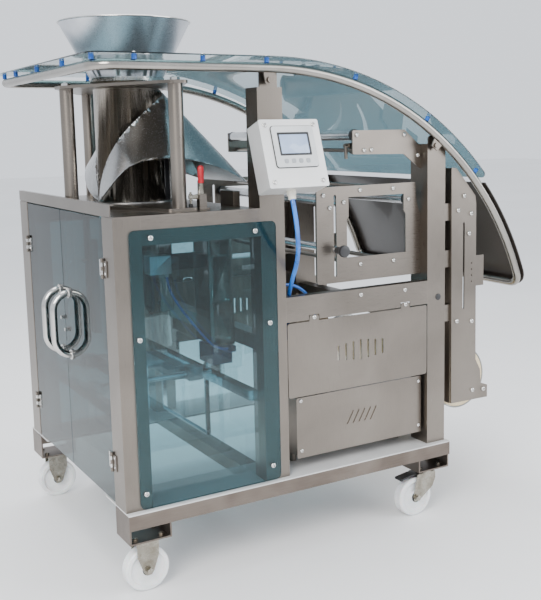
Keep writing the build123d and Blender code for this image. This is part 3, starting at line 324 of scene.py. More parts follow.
black_plastic = finish("black_plastic", (0.010, 0.010, 0.011), (0.028, 0.028, 0.030), (0.30, 0.48),
                       fineness=1400,
                       clouds=8, bump=0.10, edge=0.15)
wheels = ("front_left", "rear_left", "front_right", "rear_right")
give(base_steel, "base_frame")
give(shelf_grey, "base_shelf")
give(zinc_plate, "castor_mounts", "swivel_fork_front", "swivel_fork_rear")
give(white_nylon, *[f"wheel_{name}" for name in wheels])
give(black_plastic, "brake_pedal_front", "brake_pedal_rear")


def turned(name, rings, centre=(0, 0, 0), sides=40):
    """A turned piece: a circle is extruded and scaled from ring to ring, (radius, height) each."""
    bpy.ops.object.select_all(action="DESELECT")
    bpy.ops.mesh.primitive_circle_add(vertices=sides, radius=rings[0][0], location=(0, 0, rings[0][1]))
    piece = bpy.context.object
    piece.name = name
    bpy.ops.object.transform_apply(location=True)
    bpy.ops.object.mode_set(mode="EDIT")
    bpy.ops.mesh.select_all(action="SELECT")
    for (r0, z0), (r1, z1) in zip(rings, rings[1:]):
        bpy.ops.mesh.extrude_region_move(TRANSFORM_OT_translate={"value": (0, 0, z1 - z0)})
        bpy.ops.transform.resize(value=(r1 / r0, r1 / r0, 1), center_override=(0, 0, z1))
    if rings[0] != rings[-1]:
        bpy.ops.mesh.edge_face_add()
        bpy.ops.mesh.select_all(action="DESELECT")
        bpy.ops.object.mode_set(mode="OBJECT")
        for vertex in piece.data.vertices[:sides]:
            vertex.select = True
        bpy.ops.object.mode_set(mode="EDIT")
        bpy.ops.mesh.edge_face_add()
    bpy.ops.mesh.select_all(action="SELECT")
    bpy.ops.mesh.remove_doubles(threshold=1e-6)
    bpy.ops.mesh.normals_make_consistent(inside=False)
    bpy.ops.object.mode_set(mode="OBJECT")
    piece.data.transform(Matrix.Translation(centre))
    bpy.ops.object.shade_smooth_by_angle(angle=math.radians(38))
    return piece


def copy_to(piece, name, matrix):
    """A copy with its own mesh, carried by a matrix."""
    twin = bpy.data.objects.new(name, piece.data.copy())
    bpy.context.scene.collection.objects.link(twin)
    twin.data.transform(matrix)
    return twin


def one_piece(name, parts):
    """Join separate bits of one group into one object."""
    bpy.ops.object.select_all(action="DESELECT")
    for part in parts:
        part.select_set(True)
    bpy.context.view_layer.objects.active = parts[0]
    if len(parts) > 1:
        bpy.ops.object.join()
    parts[0].name = name
    return parts[0]


def mount(piece, body, material, slot, *replaced):
    """Give a finished piece its finish and hang it on its body."""
    piece.data.materials.clear()
    piece.data.materials.append(material)
    for face in piece.data.polygons:
        face.material_index = 0
    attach(piece, body)
    if replaced:
        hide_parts(*replaced)
    return piece


def hex_nut(centre, width, height, axis="Z"):
    """A hexagon nut with chamfered corners and a screw end standing out of it."""
    nut = turned("nut", [(width * 0.50, 0), (width * 0.577, height * 0.12), (width * 0.577, height * 0.88),
                         (width * 0.50, height)], sides=6)
    end = turned("end", [(width * 0.30, height * 0.9), (width * 0.30, height * 1.18),
                         (width * 0.24, height * 1.3)], sides=16)
    whole = one_piece("nut", [nut, end])
    turns = {"Y": math.pi / 2, "-Y": -math.pi / 2, "Z": 0}
    whole.data.transform(Matrix.Translation(centre) @ Matrix.Rotation(turns[axis], 4, "X"))
    return whole


for name in wheels:
    low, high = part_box(f"wheel_{name}")
    middle = (low + high) / 2
    caps = []
    for way in (-1, 1):
        cap = turned("cap", [(0.0195, 0), (0.0195, 0.0008), (0.0175, 0.0014), (0.0165, 0.0006),
                             (0.012, 0.0006),
                             (0.0115, 0.0015), (0.0075, 0.0015)])
        cap.data.transform(Matrix.Translation(middle + Vector((0, way * 0.022, 0)))
                           @ Matrix.Rotation(-way * math.pi / 2, 4, "X"))
        caps.append(cap)
    mount(one_piece(f"bearing_caps_{name}", caps), f"wheel_{name}", black_plastic, "black_plastic")
    body = "frame" if "left" in name else "swivel_" + name.split("_")[0]
    nuts = [hex_nut(Vector((middle.x, middle.y + way * 0.033, middle.z)), 0.017, 0.007,
                    "-Y" if way > 0 else "Y")
            for way in (-1, 1)]
    mount(one_piece(f"axle_nuts_{name}", nuts), body, zinc_plate, "polished_steel")

plate_bolts = []
for x in (0.067, 1.147):
    for y in (0.037, 0.953):
        for dx in (-0.042, 0.042):
            for dy in (-0.032, 0.032):
                plate_bolts.append(hex_nut(at(x + dx, y + dy, 0.190), 0.015, 0.006))
mount(one_piece("castor_plate_nuts", plate_bolts), "frame", zinc_plate, "polished_steel")

# ---- cabinet and columns ---------------------------------------------------------------------
# Folded stainless sheet, brushed along its length: corner posts, rails and table, square columns,
# a cover with cut slots and a lower box behind its own lid.
give(upright_steel, "cabinet_posts", "columns", "hinge_leaves", "enclosure", "cover_plates")
give(level_steel, "cabinet_rails", "table_top", "crossrails")

column_plug = turned("column_plug", [(0.0115, 0), (0.0115, 0.0015), (0.0095, 0.0038), (0.006, 0.0048)])
column_plug.data.transform(Matrix.Translation(at(1.182, 0, 0.809)) @ Matrix.Rotation(math.pi / 2, 4, "X"))
mount(column_plug, "frame", black_plastic, "black_plastic")

# ---- doors and windows -----------------------------------------------------------------------
# Teal tinted clear sheet, screwed over the cabinet's openings. Two leaves swing on steel hinges and
# carry polished D handles back to back.
# The last colour of each tint is painted shade along the sheet's polished edges.
window_tint = clear_finish("window_tint", (0.19, 0.40, 0.46), 0.10, (0.02, 0.10, 0.12))
door_tint = clear_finish("door_tint", (0.060, 0.095, 0.100), 0.06, (0.01, 0.04, 0.05), ior=1.28)
give(window_tint, "window_sheets")
give(door_tint, "door_front", "door_rear")
give(polished_steel, "door_fittings_front", "door_fittings_rear")

for side, y in (("front", 0.450), ("rear", 0.546)):
    collars = []
    for z in (0.677 + 0.0012, 0.886 - 0.0012):
        for x, way in ((0.002, -1), (0.008, 1)):
            collar = turned("collar", [(0.0115, 0), (0.017, 0), (0.017, 0.004), (0.0155, 0.0058),
                                       (0.0115, 0.0058),
                                       (0.0115, 0)])
            collar.data.transform(Matrix.Translation(at(x, y, z)) @ Matrix.Rotation(way * math.pi / 2, 4,
                                                                                    "Y"))
            collars.append(collar)
    mount(one_piece(f"handle_collars_{side}", collars), f"door_{side}", polished_steel, "polished_steel")

# ---- screws ----------------------------------------------------------------------------------
# Dome head screws with a hexagon socket hold the sheets, plates and arms; low button heads hold the
# hood's sheet down on its blue distance pieces.


def socket_screw(radius, height):
    """A dome head with a hexagon socket, standing on the origin and pointing up."""
    hexagon = radius * 0.46
    screw = turned("screw", [(radius * 0.94, 0), (radius, height * 0.12), (radius * 0.97, height * 0.40),
                             (radius * 0.84, height * 0.72), (radius * 0.62, height * 0.93),
                             (hexagon, height), (hexagon * 0.96, height * 0.45)], sides=18)
    for vertex in screw.data.vertices:
        if math.hypot(vertex.co.x, vertex.co.y) < hexagon * 1.02:
            turn = math.atan2(vertex.co.y, vertex.co.x) % (math.pi / 3) - math.pi / 6
            vertex.co.x *= 0.90 / math.cos(turn)
            vertex.co.y *= 0.90 / math.cos(turn)
    return screw


def screws_on_front(places, y, radius, height):
    """A row of like screws on a face that looks forward."""
    model = socket_screw(radius, height)
    heads = [copy_to(model, "head", Matrix.Translation(at(x, y, z)) @ Matrix.Rotation(math.pi / 2, 4, "X")
                     @ Matrix.Rotation(2.4 * count, 4, "Z")) for count, (x, z) in enumerate(places)]
    bpy.data.objects.remove(model)
    return heads


window_face, cover_face, lid_face, plate_face, arm_face = -0.0061, 0, 0.025, 0.040, -0.006
window_places = ((0.110, 1.097), (0.454, 1.094), (0.064, 0.800), (0.499, 0.800), (0.064, 0.330),
                 (0.499, 0.331))
cover_places = ((0.667, 0.797), (1.038, 0.798), (0.852, 0.851), (1.036, 0.849))
lid_places = ((0.625, 0.516), (1.115, 0.508), (0.626, 0.345), (1.115, 0.346))
plate_places = ((0.733, 1.186), (0.758, 1.144), (0.813, 1.160), (0.879, 1.197), (1.016, 1.197),
                (1.083, 1.157), (0.878, 0.948), (1.017, 0.949), (0.869, 1.379), (1.064, 1.377),
                (0.897, 1.328), (0.927, 1.329), (1.122, 1.306))
arm_places = ((1.293, 1.160), (1.266, 1.110), (1.326, 1.096), (1.317, 1.025), (1.262, 0.713),
              (1.331, 0.706), (1.338, 0.448), (1.390, 0.444))
heads = screws_on_front(window_places, window_face, 0.009, 0.0055)
heads += screws_on_front(cover_places, cover_face, 0.008, 0.005)
heads += screws_on_front(lid_places, lid_face, 0.007, 0.003)
heads += screws_on_front(plate_places, plate_face, 0.008, 0.0065)
heads += screws_on_front(arm_places, arm_face, 0.009, 0.008)
mount(one_piece("front_screws", heads), "frame", polished_steel, "brushed_steel")

for name, body, x, inset in (("fixed_hinge_screws", "frame", -0.003, -0.020),
                             ("front_hinge_screws", "door_front", -0.001, 0.020),
                             ("rear_hinge_screws", "door_rear", -0.001, 0.020)):
    heads = []
    for y, inward, door in ((0.092, 1, "door_front"), (0.898, -1, "door_rear")):
        if body in ("frame", door):
            for z in (0.403, 0.431, 0.993, 1.021):
                hinge_screw = socket_screw(0.0045, 0.0025)
                hinge_screw.data.transform(Matrix.Translation(at(x, y + inward * inset, z))
                                           @ Matrix.Rotation(-math.pi / 2, 4, "Y"))
                heads.append(hinge_screw)
    mount(one_piece(name, heads), body, polished_steel, "polished_steel")

rail_top, arc_x, arc_r = 1.586, 0.510, 1.095
arc_z = rail_top - arc_r
spacer_seat = 0.015 + 0.014 + 0.004
tail_seat = arc_r + 0.015 + 0.0012 + 0.003


def on_arc(radius, degrees):
    """x and z on the hood's curve, counted from where it starts to fall."""
    turn = math.radians(degrees)
    return arc_x + radius * math.sin(turn), arc_z + radius * math.cos(turn)


button_head = socket_screw(0.007, 0.004)
heads = []
for y in (-0.017, 1.007):
    for x in (0.080, 0.291, 0.503):
        heads.append(copy_to(button_head, "head", Matrix.Translation(at(x, y, rail_top + spacer_seat))))
    for angle in (16.5, 33.0, 47.5):
        x, z = on_arc(arc_r + spacer_seat, angle)
        heads.append(copy_to(button_head, "head", Matrix.Translation(at(x, y, z))
                             @ Matrix.Rotation(math.radians(angle), 4, "Y")))
    for angle in (54.0, 61.0, 68.0):
        x, z = on_arc(tail_seat, angle)
        heads.append(copy_to(button_head, "head", Matrix.Translation(at(x, y, z))
                             @ Matrix.Rotation(math.radians(angle), 4, "Y")))
for y in (0.020, 0.286, 0.555, 0.816, 0.970):
    heads.append(copy_to(button_head, "head", Matrix.Translation(at(-0.031, y, rail_top + spacer_seat))))
bpy.data.objects.remove(button_head)
mount(one_piece("hood_screws", heads), "frame", polished_steel, "brushed_steel", "panel_screws")

# ---- forming set -----------------------------------------------------------------------------
# A funnel on a long steel tube, held between two plates on three posts. The film folds over the
# shoulder, a thin ground sheet that wraps round the tube over a curved apron whose near-black
# colour is painted shade, standing in for the shaded underside of the wing's far half.
tube_steel = finish("tube_steel", (0.24, 0.215, 0.180), (0.46, 0.42, 0.37), (0.14, 0.26),
                    stretch=(1, 1, 0.02),
                    fineness=160, clouds=5, bump=0.03, edge=0.0, metallic=1.0)
shoulder_steel = finish("shoulder_steel", (0.30, 0.30, 0.295), (0.46, 0.465, 0.47), (0.16, 0.30),
                        stretch=(1, 1, 0.4),
                        fineness=420, clouds=4, bump=0.02, edge=0.0, metallic=1.0)
# Near-black painted shade for the apron under the wing, where the far wing's underside lies in shade.
apron_painted_shade = finish("apron_painted_shade", (0.030, 0.031, 0.034), (0.070, 0.070, 0.074), (0.30, 0.46),
                     stretch=(1, 1, 0.1),
                     fineness=420, clouds=6, bump=0.03, metallic=0.7)
give(level_steel, "forming_frame")


def loose_copies(node):
    """Merged copies of a CAD node's separate solids, one object each."""
    piece = copy_to(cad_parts[node], node + "_piece", Matrix.Identity(4))
    bpy.ops.object.select_all(action="DESELECT")
    piece.select_set(True)
    bpy.context.view_layer.objects.active = piece
    bpy.ops.object.mode_set(mode="EDIT")
    bpy.ops.mesh.select_all(action="SELECT")
    bpy.ops.mesh.remove_doubles(threshold=2e-6)
    bpy.ops.mesh.separate(type="LOOSE")
    bpy.ops.object.mode_set(mode="OBJECT")
    bpy.ops.object.shade_smooth_by_angle(angle=math.radians(30))
    return list(bpy.context.selected_objects)


def reach(piece):
    """The lowest and highest corners of a piece, counted like every other place."""
    corners = [vertex.co - corner for vertex in piece.data.vertices]
    return (Vector([min(c[axis] for c in corners) for axis in range(3)]),
            Vector([max(c[axis] for c in corners) for axis in range(3)]))


funnel_steel = finish("funnel_steel", (0.56, 0.58, 0.62), (0.70, 0.72, 0.76), (0.24, 0.34),
                      stretch=(1, 1, 0.3),
                      fineness=900, clouds=9, bump=0.015, edge=0.0, metallic=1.0)
neck_top = 1.581
tube_and_funnel = mount(one_piece("tube_and_funnel", loose_copies("forming_tube")), "frame", tube_steel,
                        "brushed_steel", "forming_tube")
tube_and_funnel.data.materials.append(funnel_steel)
for face in tube_and_funnel.data.polygons:
    if face.center.z - corner.z > neck_top:
        face.material_index = 1
apron_top = 1.330
shoulder_parts = loose_copies("forming_shoulder")
aprons = [part for part in shoulder_parts if reach(part)[1].z < apron_top]
wings = [part for part in shoulder_parts if part not in aprons]
mount(one_piece("folding_shoulder", wings), "frame", shoulder_steel, "brushed_steel", "forming_shoulder")
# The apron below the wing carries the painted shade.
mount(one_piece("shoulder_apron", aprons), "frame", apron_painted_shade, "brushed_steel")

axis_x, axis_y = 0.252, 0.494
rim = turned("funnel_rim", [(0.2165, 0), (0.2186, 0.0016), (0.2186, 0.0040), (0.2165, 0.0052),
                            (0.2138, 0.0040),
                            (0.2138, 0.0010), (0.2165, 0)], at(axis_x, axis_y, 1.7566), sides=96)
band = turned("tube_band", [(0.1212, 0), (0.1235, 0.001), (0.1235, 0.013), (0.1212, 0.014), (0.1212, 0)],
              at(axis_x, axis_y, 1.5665), sides=96)
mount(one_piece("funnel_rim", [rim, band]), "frame", polished_steel, "brushed_steel")
post_nuts = [hex_nut(at(x, y, 1.552), 0.026, 0.010) for x,
             y in ((0.249, 0.093), (0.249, 0.896), (0.043, 0.494))]
mount(one_piece("post_nuts", post_nuts), "frame", polished_steel, "polished_steel")

# ---- toggle clamps ---------------------------------------------------------------------------
# Two quick clamps press the forming set's lower plate onto the table. Each has a pressed steel
# lever on one pivot, a red dipped grip and a black rubber foot.
red_grip = finish("red_grip", (0.34, 0.003, 0.010), (0.50, 0.010, 0.022), (0.30, 0.45), fineness=240,
                  clouds=40,
                  bump=0.10, edge=0.0, coat_weight=0.1)
black_rubber = finish("black_rubber", (0.008, 0.008, 0.008), (0.022, 0.021, 0.020), (0.55, 0.75),
                      fineness=700,
                      clouds=30, bump=0.15, edge=0.1)


def cut_plate(name, outline, thickness, matrix, bevel):
    """A plate of a given outline, (x, y) each, thickened upward and laid where the matrix says."""
    bpy.ops.object.select_all(action="DESELECT")
    bpy.ops.mesh.primitive_circle_add(vertices=len(outline), fill_type="NGON", location=(0, 0, 0))
    plate = bpy.context.object
    plate.name = name
    for vertex, (x, y) in zip(plate.data.vertices, outline):
        vertex.co = (x, y, 0)
    bpy.ops.object.mode_set(mode="EDIT")
    bpy.ops.mesh.select_all(action="SELECT")
    bpy.ops.mesh.extrude_region_move(TRANSFORM_OT_translate={"value": (0, 0, thickness)})
    bpy.ops.mesh.select_all(action="SELECT")
    bpy.ops.mesh.normals_make_consistent(inside=False)
    bpy.ops.object.mode_set(mode="OBJECT")
    soften(plate, bevel)
    plate.data.transform(matrix)
    return plate


def soften(piece, width, segments=2):
    """Round every sharp edge of a piece."""
    edges = piece.modifiers.new("edges", "BEVEL")
    edges.width = width
    edges.segments = segments
    edges.limit_method = "ANGLE"
    edges.angle_limit = math.radians(32)
    bpy.ops.object.select_all(action="DESELECT")
    piece.select_set(True)
    bpy.context.view_layer.objects.active = piece
    bpy.ops.object.modifier_apply(modifier="edges")
    bpy.ops.object.shade_smooth_by_angle(angle=math.radians(38))


def facing_front(y):
    """The matrix that stands a flat drawing up: x to the right, y up, its thickness to the front."""
    return Matrix.Translation(at(0, y, 0)) @ Matrix.Rotation(math.pi / 2, 4, "X")


pivot_x, pivot_z = 0.325, 1.200
spindle_in = 0.035
for side, y in (("front", 0.100), ("rear", 0.890)):
    outline = [(pivot_x + x, pivot_z + z) for x, z in ((-0.009, -0.007), (0.009, -0.007), (0.007, 0.048),
                                                       (-0.004, 0.048), (-0.009, 0.009), (-0.042, 0.006),
                                                       (-0.042, -0.005))]
    lever = cut_plate("lever", outline, 0.0096, facing_front(y + 0.0048), 0.0016)
    spindle = turned("spindle", [(0.0034, 0), (0.0034, 0.038)], at(pivot_x - spindle_in, y, 1.178), sides=20)
    nuts = [hex_nut(at(pivot_x - spindle_in, y, z), 0.0105, 0.004) for z in (1.2065, 1.1895)]
    whole = one_piece(f"clamp_arm_{side}", [lever, spindle, *nuts])
    mount(whole, f"clamp_{side}", zinc_plate, "polished_steel", f"clamp_lever_{side}")
    grip = turned(f"clamp_grip_{side}", [(0.0060, 0), (0.0082, 0.001), (0.0089, 0.006), (0.0097, 0.030),
                                         (0.0099, 0.044), (0.0090, 0.050), (0.0060, 0.0535),
                                         (0.0014, 0.0545)],
                  at(pivot_x + 0.0015, y, 1.2415), sides=28)
    mount(grip, f"clamp_{side}", red_grip, "polished_steel")
    foot = turned(f"clamp_foot_{side}", [(0.0058, 0), (0.0066, 0.0012), (0.0062, 0.006), (0.0045, 0.0088)],
                  at(pivot_x - spindle_in, y, 1.1714), sides=28)
    mount(foot, f"clamp_{side}", black_rubber, "polished_steel")

# ---- hood ------------------------------------------------------------------------------------
# A bent steel tube carries a curved clear sheet on blue distance pieces, and a dark brown sheet at
# its lower end. Slotted brackets fix it to the columns.
# The last colour of the hood's tint is painted shade along the sheet's polished edges.
hood_tint = clear_finish("hood_tint", (0.13, 0.25, 0.29), 0.10, (0.01, 0.05, 0.06))
brown_sheet = finish("brown_sheet", (0.022, 0.017, 0.014), (0.038, 0.030, 0.026), (0.26, 0.38), fineness=900,
                     clouds=3, bump=0.04, edge=0.2, coat_weight=0.2)
blue_plastic = finish("blue_plastic", (0.006, 0.07, 0.36), (0.018, 0.16, 0.62), (0.25, 0.42), fineness=500,
                      clouds=50, bump=0.06, edge=0.1)
give(hood_tint, "hood_sheet")
satin_steel = finish("satin_steel", (0.28, 0.26, 0.235), (0.38, 0.36, 0.33), (0.18, 0.30), fineness=600,
                     clouds=5,
                     bump=0.02, edge=0.0, metallic=1.0)
give(satin_steel, "hood_frame")
give(brown_sheet, "hood_tail")
give(blue_plastic, "hood_spacers")
give(upright_steel, "hood_brackets")

# ---- operator box ----------------------------------------------------------------------------
# A small box with a ground stainless face on a gusset at the middle column. A terminal with a
# lit display and four keys sits in it, sealed by a black gasket; the cable leaves by a gland.
face_steel = finish("face_steel", (0.66, 0.66, 0.65), (0.80, 0.80, 0.79), (0.32, 0.46), stretch=(0.03, 1, 1),
                    fineness=900, bump=0.03, metallic=0.6)
bezel_grey = finish("bezel_grey", (0.52, 0.54, 0.55), (0.62, 0.64, 0.65), (0.34, 0.48), fineness=1500,
                    clouds=10,
                    bump=0.08, edge=0.1)
key_grey = finish("key_grey", (0.26, 0.28, 0.30), (0.36, 0.38, 0.40), (0.40, 0.55), fineness=900, clouds=20,
                  bump=0.08, edge=0.2)
display_glow = finish("display_glow", (0.24, 0.33, 0.50), (0.36, 0.45, 0.62), (0.06, 0.10), fineness=900,
                      clouds=14,
                      bump=0.0, edge=0.0, coat_weight=0.6, emission_color=(0.45, 0.58, 0.80, 1),
                      emission_strength=0.35)
ivory_plastic = finish("ivory_plastic", (0.60, 0.56, 0.46), (0.74, 0.71, 0.62), (0.35, 0.50), fineness=400,
                       clouds=30, bump=0.06, edge=0.1)
give(face_steel, "hmi_box")
give(bezel_grey, "terminal")
give(key_grey, *[f"button_{count}" for count in range(1, 5)])

face_turn = Matrix.Rotation(math.pi / 2 - face_tilt, 4, "X")


def on_face_matrix(x, down, out=0.0):
    """The matrix that lays a piece on the sloping face, its z standing out of it."""
    return Matrix.Translation(on_face(x, down, out)) @ face_turn


def rounded_outline(width, height, radius, steps=6):
    """The points of a rounded rectangle about the origin."""
    points = []
    for cx, cy, start in ((1, 1, 0), (-1, 1, 90), (-1, -1, 180), (1, -1, 270)):
        for step in range(steps + 1):
            angle = math.radians(start + 90 * step / steps)
            points.append((cx * (width / 2 - radius) + radius * math.cos(angle),
                           cy * (height / 2 - radius) + radius * math.sin(angle)))
    return points


def ring_plate(name, outer, inner, thickness, matrix):
    """A flat ring between two outlines with the same number of points, thickened upward."""
    bpy.ops.object.select_all(action="DESELECT")
    bpy.ops.mesh.primitive_circle_add(vertices=len(outer), location=(0, 0, 0))
    ring = bpy.context.object
    ring.name = name
    for vertex, (x, y) in zip(ring.data.vertices, outer):
        vertex.co = (x, y, 0)
    bpy.ops.object.mode_set(mode="EDIT")
    bpy.ops.mesh.select_all(action="SELECT")
    bpy.ops.mesh.extrude_region()
    bpy.ops.object.mode_set(mode="OBJECT")
    for vertex, (x, y) in zip(ring.data.vertices[len(outer):], inner):
        vertex.co = (x, y, 0)
    bpy.ops.object.mode_set(mode="EDIT")
    bpy.ops.mesh.select_all(action="SELECT")
    bpy.ops.mesh.extrude_region_move(TRANSFORM_OT_translate={"value": (0, 0, thickness)})
    bpy.ops.mesh.select_all(action="SELECT")
    bpy.ops.mesh.normals_make_consistent(inside=False)
    bpy.ops.object.mode_set(mode="OBJECT")
    soften(ring, thickness * 0.2)
    ring.data.transform(matrix)
    return ring


gasket = ring_plate("terminal_gasket", rounded_outline(0.1465, 0.1305, 0.010),
                    rounded_outline(0.1415, 0.1255, 0.008),
                    0.0022, on_face_matrix(0.106, 0.0845))
mount(gasket, "frame", black_rubber, "black_plastic")
bezel = ring_plate("display_frame", rounded_outline(0.1095, 0.0715, 0.003),
                   rounded_outline(0.0965, 0.0585, 0.002),
                   0.0016, on_face_matrix(0.106, 0.0765, 0.0031))
mount(bezel, "frame", black_plastic, "terminal_grey")
display = cut_plate("display", rounded_outline(0.0975, 0.0595, 0.002), 0.0008,
                    on_face_matrix(0.106, 0.0765, 0.0032),
                    0.0002)
mount(display, "frame", display_glow, "terminal_grey")
key_frames = [ring_plate("key_frame", rounded_outline(0.0160, 0.0160, 0.0052),
                         rounded_outline(0.0142, 0.0142, 0.0044),
                         0.0005, on_face_matrix(x, 0.129, 0.0031)) for x in (0.068, 0.093, 0.118, 0.143)]
mount(one_piece("key_frames", key_frames), "frame", black_plastic, "terminal_grey")
face_screw = socket_screw(0.0078, 0.0035)
heads = [copy_to(face_screw, "head", on_face_matrix(x, down)) for x in (0.018, 0.185) for down in (0.016,
                                                                                                   0.191)]
bpy.data.objects.remove(face_screw)
mount(one_piece("face_screws", heads), "frame", polished_steel, "white_steel")
gland = turned("cable_gland", [(0.0100, 0), (0.0142, 0), (0.0142, 0.010), (0.0112, 0.0125), (0.0118, 0.014),
                               (0.0118, 0.024), (0.0090, 0.0262), (0.0078, 0.0262), (0.0078, 0.012),
                               (0.0100, 0)], sides=24)
gland.data.transform(Matrix.Translation(on_face(0.094, 0.208, -0.046))
                     @ Matrix.Rotation(math.pi - face_tilt, 4, "X"))
mount(gland, "frame", ivory_plastic, "white_steel")

# ---- film feed and reel ----------------------------------------------------------------------
# Two pairs of laser cut plates hold turning aluminium rollers; one roller slides in a slot and is
# locked by a black knob. The film hangs on a reel between the arms at the right.
roller_metal = finish("roller_metal", (0.36, 0.37, 0.38), (0.58, 0.59, 0.60), (0.14, 0.28),
                      stretch=(1, 0.1, 1),
                      fineness=200, clouds=7, bump=0.03, metallic=1.0)
cream_film = finish("cream_film", (0.72, 0.57, 0.34), (0.84, 0.70, 0.46), (0.16, 0.34), stretch=(1, 0.6, 1),
                    fineness=90, clouds=9, bump=0.08, edge=0.0, coat_weight=0.4)
grey_flange = finish("grey_flange", (0.30, 0.31, 0.31), (0.44, 0.45, 0.45), (0.34, 0.50), fineness=500,
                     clouds=8,
                     bump=0.06, edge=0.3)
give(upright_steel, "reel_arms", "upper_arms")
give(level_steel, "feed_plates")
give(roller_metal, "roller_feed_left", "roller_feed_right", "roller_top", "roller_unwind")

for name in ("roller_feed_left", "roller_feed_right", "roller_top", "roller_unwind"):
    low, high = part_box(name)
    centre = (low + high) / 2
    radius = (high.z - low.z) / 2
    rings = []
    for y, way in ((low.y, 1), (high.y, -1)):
        ring = turned("ring", [(0.0066, 0), (radius + 0.0004, 0), (radius + 0.0012, 0.0012),
                               (radius + 0.0012, 0.012),
                               (radius + 0.0002, 0.013), (0.0066, 0.0004), (0.0066, 0)], sides=36)
        ring.data.transform(Matrix.Translation(Vector((centre.x, y - way * 0.0004, centre.z)))
                            @ Matrix.Rotation(-way * math.pi / 2, 4, "X"))
        rings.append(ring)
    mount(one_piece(f"{name}_ends", rings), name, black_plastic, "black_plastic")

low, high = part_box("roller_adjust")
knob_x, knob_z = (low.x + high.x) / 2, (low.z + high.z) / 2
feed_back, feed_front = at(0, 0.944, 0).y, at(0, 0.046, 0).y


def along_y(rings, y, name="bar", way=1, sides=36):
    """A turned piece on the sliding roller's axis; its height runs to the rear, or to the front."""
    bar = turned(name, rings, sides=sides)
    bar.data.transform(Matrix.Translation(Vector((knob_x, y, knob_z))) @ Matrix.Rotation(-way * math.pi / 2,
                                                                                         4, "X"))
    return bar


tube = along_y([(0.0048, 0), (0.0132, 0), (0.014, 0.001), (0.014, 0.895), (0.0132, 0.896), (0.0048, 0.896),
                (0.0048, 0)], feed_front + 0.001)
shaft = along_y([(0.004, 0), (0.0047, 0.001), (0.0047, 0.927), (0.004, 0.928)], feed_front - 0.016)
washers = [along_y([(0.0049, 0), (0.0126, 0), (0.013, 0.0006), (0.013, 0.0112), (0.0122, 0.012),
                    (0.0049, 0.012),
                    (0.0049, 0)], y) for y in (feed_front - 0.0182, feed_back + 0.0062)]
mount(one_piece("sliding_roller", [tube, shaft, *washers]), "roller_adjust", roller_metal, "roller_steel",
      "roller_adjust")
knob = along_y([(0.0110, 0), (0.0127, 0.0015), (0.0127, 0.028), (0.0145, 0.030), (0.0188, 0.0325),
                (0.0199, 0.036),
                (0.0199, 0.044), (0.0186, 0.0465), (0.0130, 0.0480), (0.0050, 0.0480)], feed_front - 0.0184,
               "sliding_knob", way=-1)
mount(knob, "roller_adjust", black_plastic, "black_plastic")

low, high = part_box("film_reel")
centre = (low + high) / 2
flange_r = (high.z - low.z) / 2
half = (high.y - low.y) / 2
rim = 0.0035
wound = turned("wound_film", [(0.0125, -half + 0.004), (0.030, -half + 0.004), (0.031, -half + 0.002),
                              (flange_r - rim - 0.0025, -half + 0.0012),
                              (flange_r - rim - 0.0015, -half + 0.003),
                              (flange_r - rim - 0.0015, half - 0.003),
                              (flange_r - rim - 0.0025, half - 0.0012),
                              (0.031, half - 0.002), (0.030, half - 0.004), (0.0125, half - 0.004),
                              (0.0125, -half + 0.004)], sides=96)
wound.data.transform(Matrix.Translation(centre) @ Matrix.Rotation(-math.pi / 2, 4, "X"))
mount(wound, "film_reel", cream_film, "film_cream", "film_reel")
flanges = []
for way in (-1, 1):
    disc = turned("disc", [(flange_r - rim, 0.0006), (flange_r - 0.001, 0), (flange_r, 0.001),
                           (flange_r, 0.0125),
                           (flange_r - 0.001, 0.0135), (flange_r - rim, 0.0135), (flange_r - rim, 0.0006)],
                           sides=96)
    hub = turned("hub", [(0.0122, 0), (0.027, 0), (0.029, 0.0015), (0.029, 0.0036), (0.0122, 0.0036),
                         (0.0122, 0)], sides=48)
    for bit in (disc, hub):
        bit.data.transform(Matrix.Translation(centre - Vector((0, way * half, 0)))
                           @ Matrix.Rotation(-way * math.pi / 2, 4, "X"))
        flanges.append(bit)
mount(one_piece("reel_flanges", flanges), "film_reel", grey_flange, "film_cream")

# ---- inside the cabinet ----------------------------------------------------------------------
# Two pull belts beside the tube, a back seal bar, and a pair of cross sealing jaws on chromed rods.
# An air valve block and a control box hang at the right of the cabinet.
chrome_rod = finish("chrome_rod", (0.60, 0.61, 0.62), (0.74, 0.75, 0.76), (0.05, 0.12), fineness=120,
                    clouds=9,
                    bump=0.01, metallic=1.0)
jaw_grey = finish("jaw_grey", (0.26, 0.27, 0.28), (0.42, 0.43, 0.44), (0.28, 0.42), stretch=(1, 0.1, 1),
                  fineness=260, clouds=6, metallic=1.0)
brown_belt = finish("brown_belt", (0.13, 0.055, 0.030), (0.23, 0.11, 0.065), (0.50, 0.68),
                    stretch=(0.3, 1, 1),
                    fineness=380, clouds=12, bump=0.15, edge=0.1)
dark_block = finish("dark_block", (0.030, 0.034, 0.042), (0.065, 0.072, 0.085), (0.30, 0.46), fineness=600,
                    clouds=9, bump=0.06, edge=0.3, metallic=0.6)
give(chrome_rod, "jaw_rails")
blue_box = finish("blue_box", (0.012, 0.030, 0.085), (0.025, 0.055, 0.140), (0.35, 0.50), fineness=500,
                  clouds=12,
                  bump=0.06, edge=0.3)
valve_metal = finish("valve_metal", (0.52, 0.53, 0.54), (0.68, 0.69, 0.70), (0.28, 0.42), fineness=300,
                     clouds=12,
                     metallic=0.8)
inner_parts = loose_copies("inner_frame")
box_left, box_top = 0.38, 0.705
boxes = [part for part in inner_parts if reach(part)[0].x > box_left and reach(part)[1].z < box_top]
plates = [part for part in inner_parts if part not in boxes]
mount(one_piece("drive_box", boxes), "frame", blue_box, "jaw_metal")
inner_plates = mount(one_piece("inner_plates", plates), "frame", level_steel, "brushed_steel", "inner_frame")
inner_plates.data.materials.append(valve_metal)
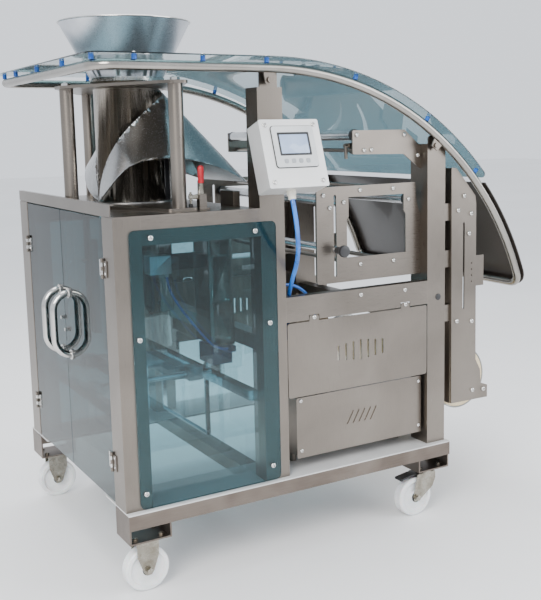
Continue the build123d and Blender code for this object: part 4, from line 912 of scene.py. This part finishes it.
valve_right, valve_rear, valve_low, valve_top = 0.252, 0.2255, 0.94, 1.02
for face in inner_plates.data.polygons:
    place = face.center - corner
    if place.x < valve_right and place.y < valve_rear and valve_low < place.z < valve_top:
        face.material_index = 1
give(jaw_grey, "jaw_left", "jaw_right", "seal_bar")


def racetrack(width, height, steps=16):
    """An upright racetrack outline about the origin."""
    radius = width / 2
    points = []
    for centre_y, start in ((height / 2 - radius, 0), (-height / 2 + radius, 180)):
        for step in range(steps + 1):
            angle = math.radians(start + 180 * step / steps)
            points.append((radius * math.cos(angle), centre_y + radius * math.sin(angle)))
    return points


for side in ("front", "rear"):
    low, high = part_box(f"belt_drive_{side}")
    centre = (low + high) / 2
    width, height, deep = high.y - low.y, high.z - low.z, high.x - low.x
    across = Matrix.Translation(Vector((low.x, centre.y, centre.z))) @ Matrix(((0, 0, 1, 0), (1, 0, 0, 0),
                                                                               (0, 1, 0, 0), (0, 0, 0, 1)))
    inner = racetrack(width - 0.006, height - 0.006)
    belt = ring_plate(f"pull_belt_{side}", racetrack(width, height), inner, deep - 0.012,
                      across @ Matrix.Translation((0, 0, 0.006)))
    mount(belt, f"belt_drive_{side}", brown_belt, "belt_brown")
    body = cut_plate(f"belt_block_{side}", racetrack(width - 0.012, height - 0.012), deep,
                     across, 0.0015)
    discs = [turned("disc", [(0.006, 0), (0.020, 0), (0.022, 0.001), (0.022, 0.0018), (0.006, 0.0018),
                             (0.006, 0)], sides=32)]
    discs[0].data.transform(across @ Matrix.Translation((0, height / 2 - width / 2, deep - 0.0001)))
    discs.append(copy_to(discs[0], "disc", Matrix.Translation((0, 0, -(height - width)))))
    whole = one_piece(f"belt_block_{side}", [body, *discs])
    mount(whole, f"belt_drive_{side}", dark_block, "belt_brown", f"belt_drive_{side}")

# ---- floor -----------------------------------------------------------------------------------
# A plain pale studio floor that isn't part of the machine.
floor_pale = finish("floor_pale", (0.88, 0.88, 0.88), (0.92, 0.92, 0.92), (0.55, 0.70), fineness=4,
                    clouds=0.6,
                    bump=0.0, edge=0.0)
bpy.ops.object.select_all(action="DESELECT")
bpy.ops.mesh.primitive_plane_add(size=60, location=(0, 0, -0.0005))
floor = bpy.context.object
floor.name = "studio_floor"
floor.data.materials.append(floor_pale)
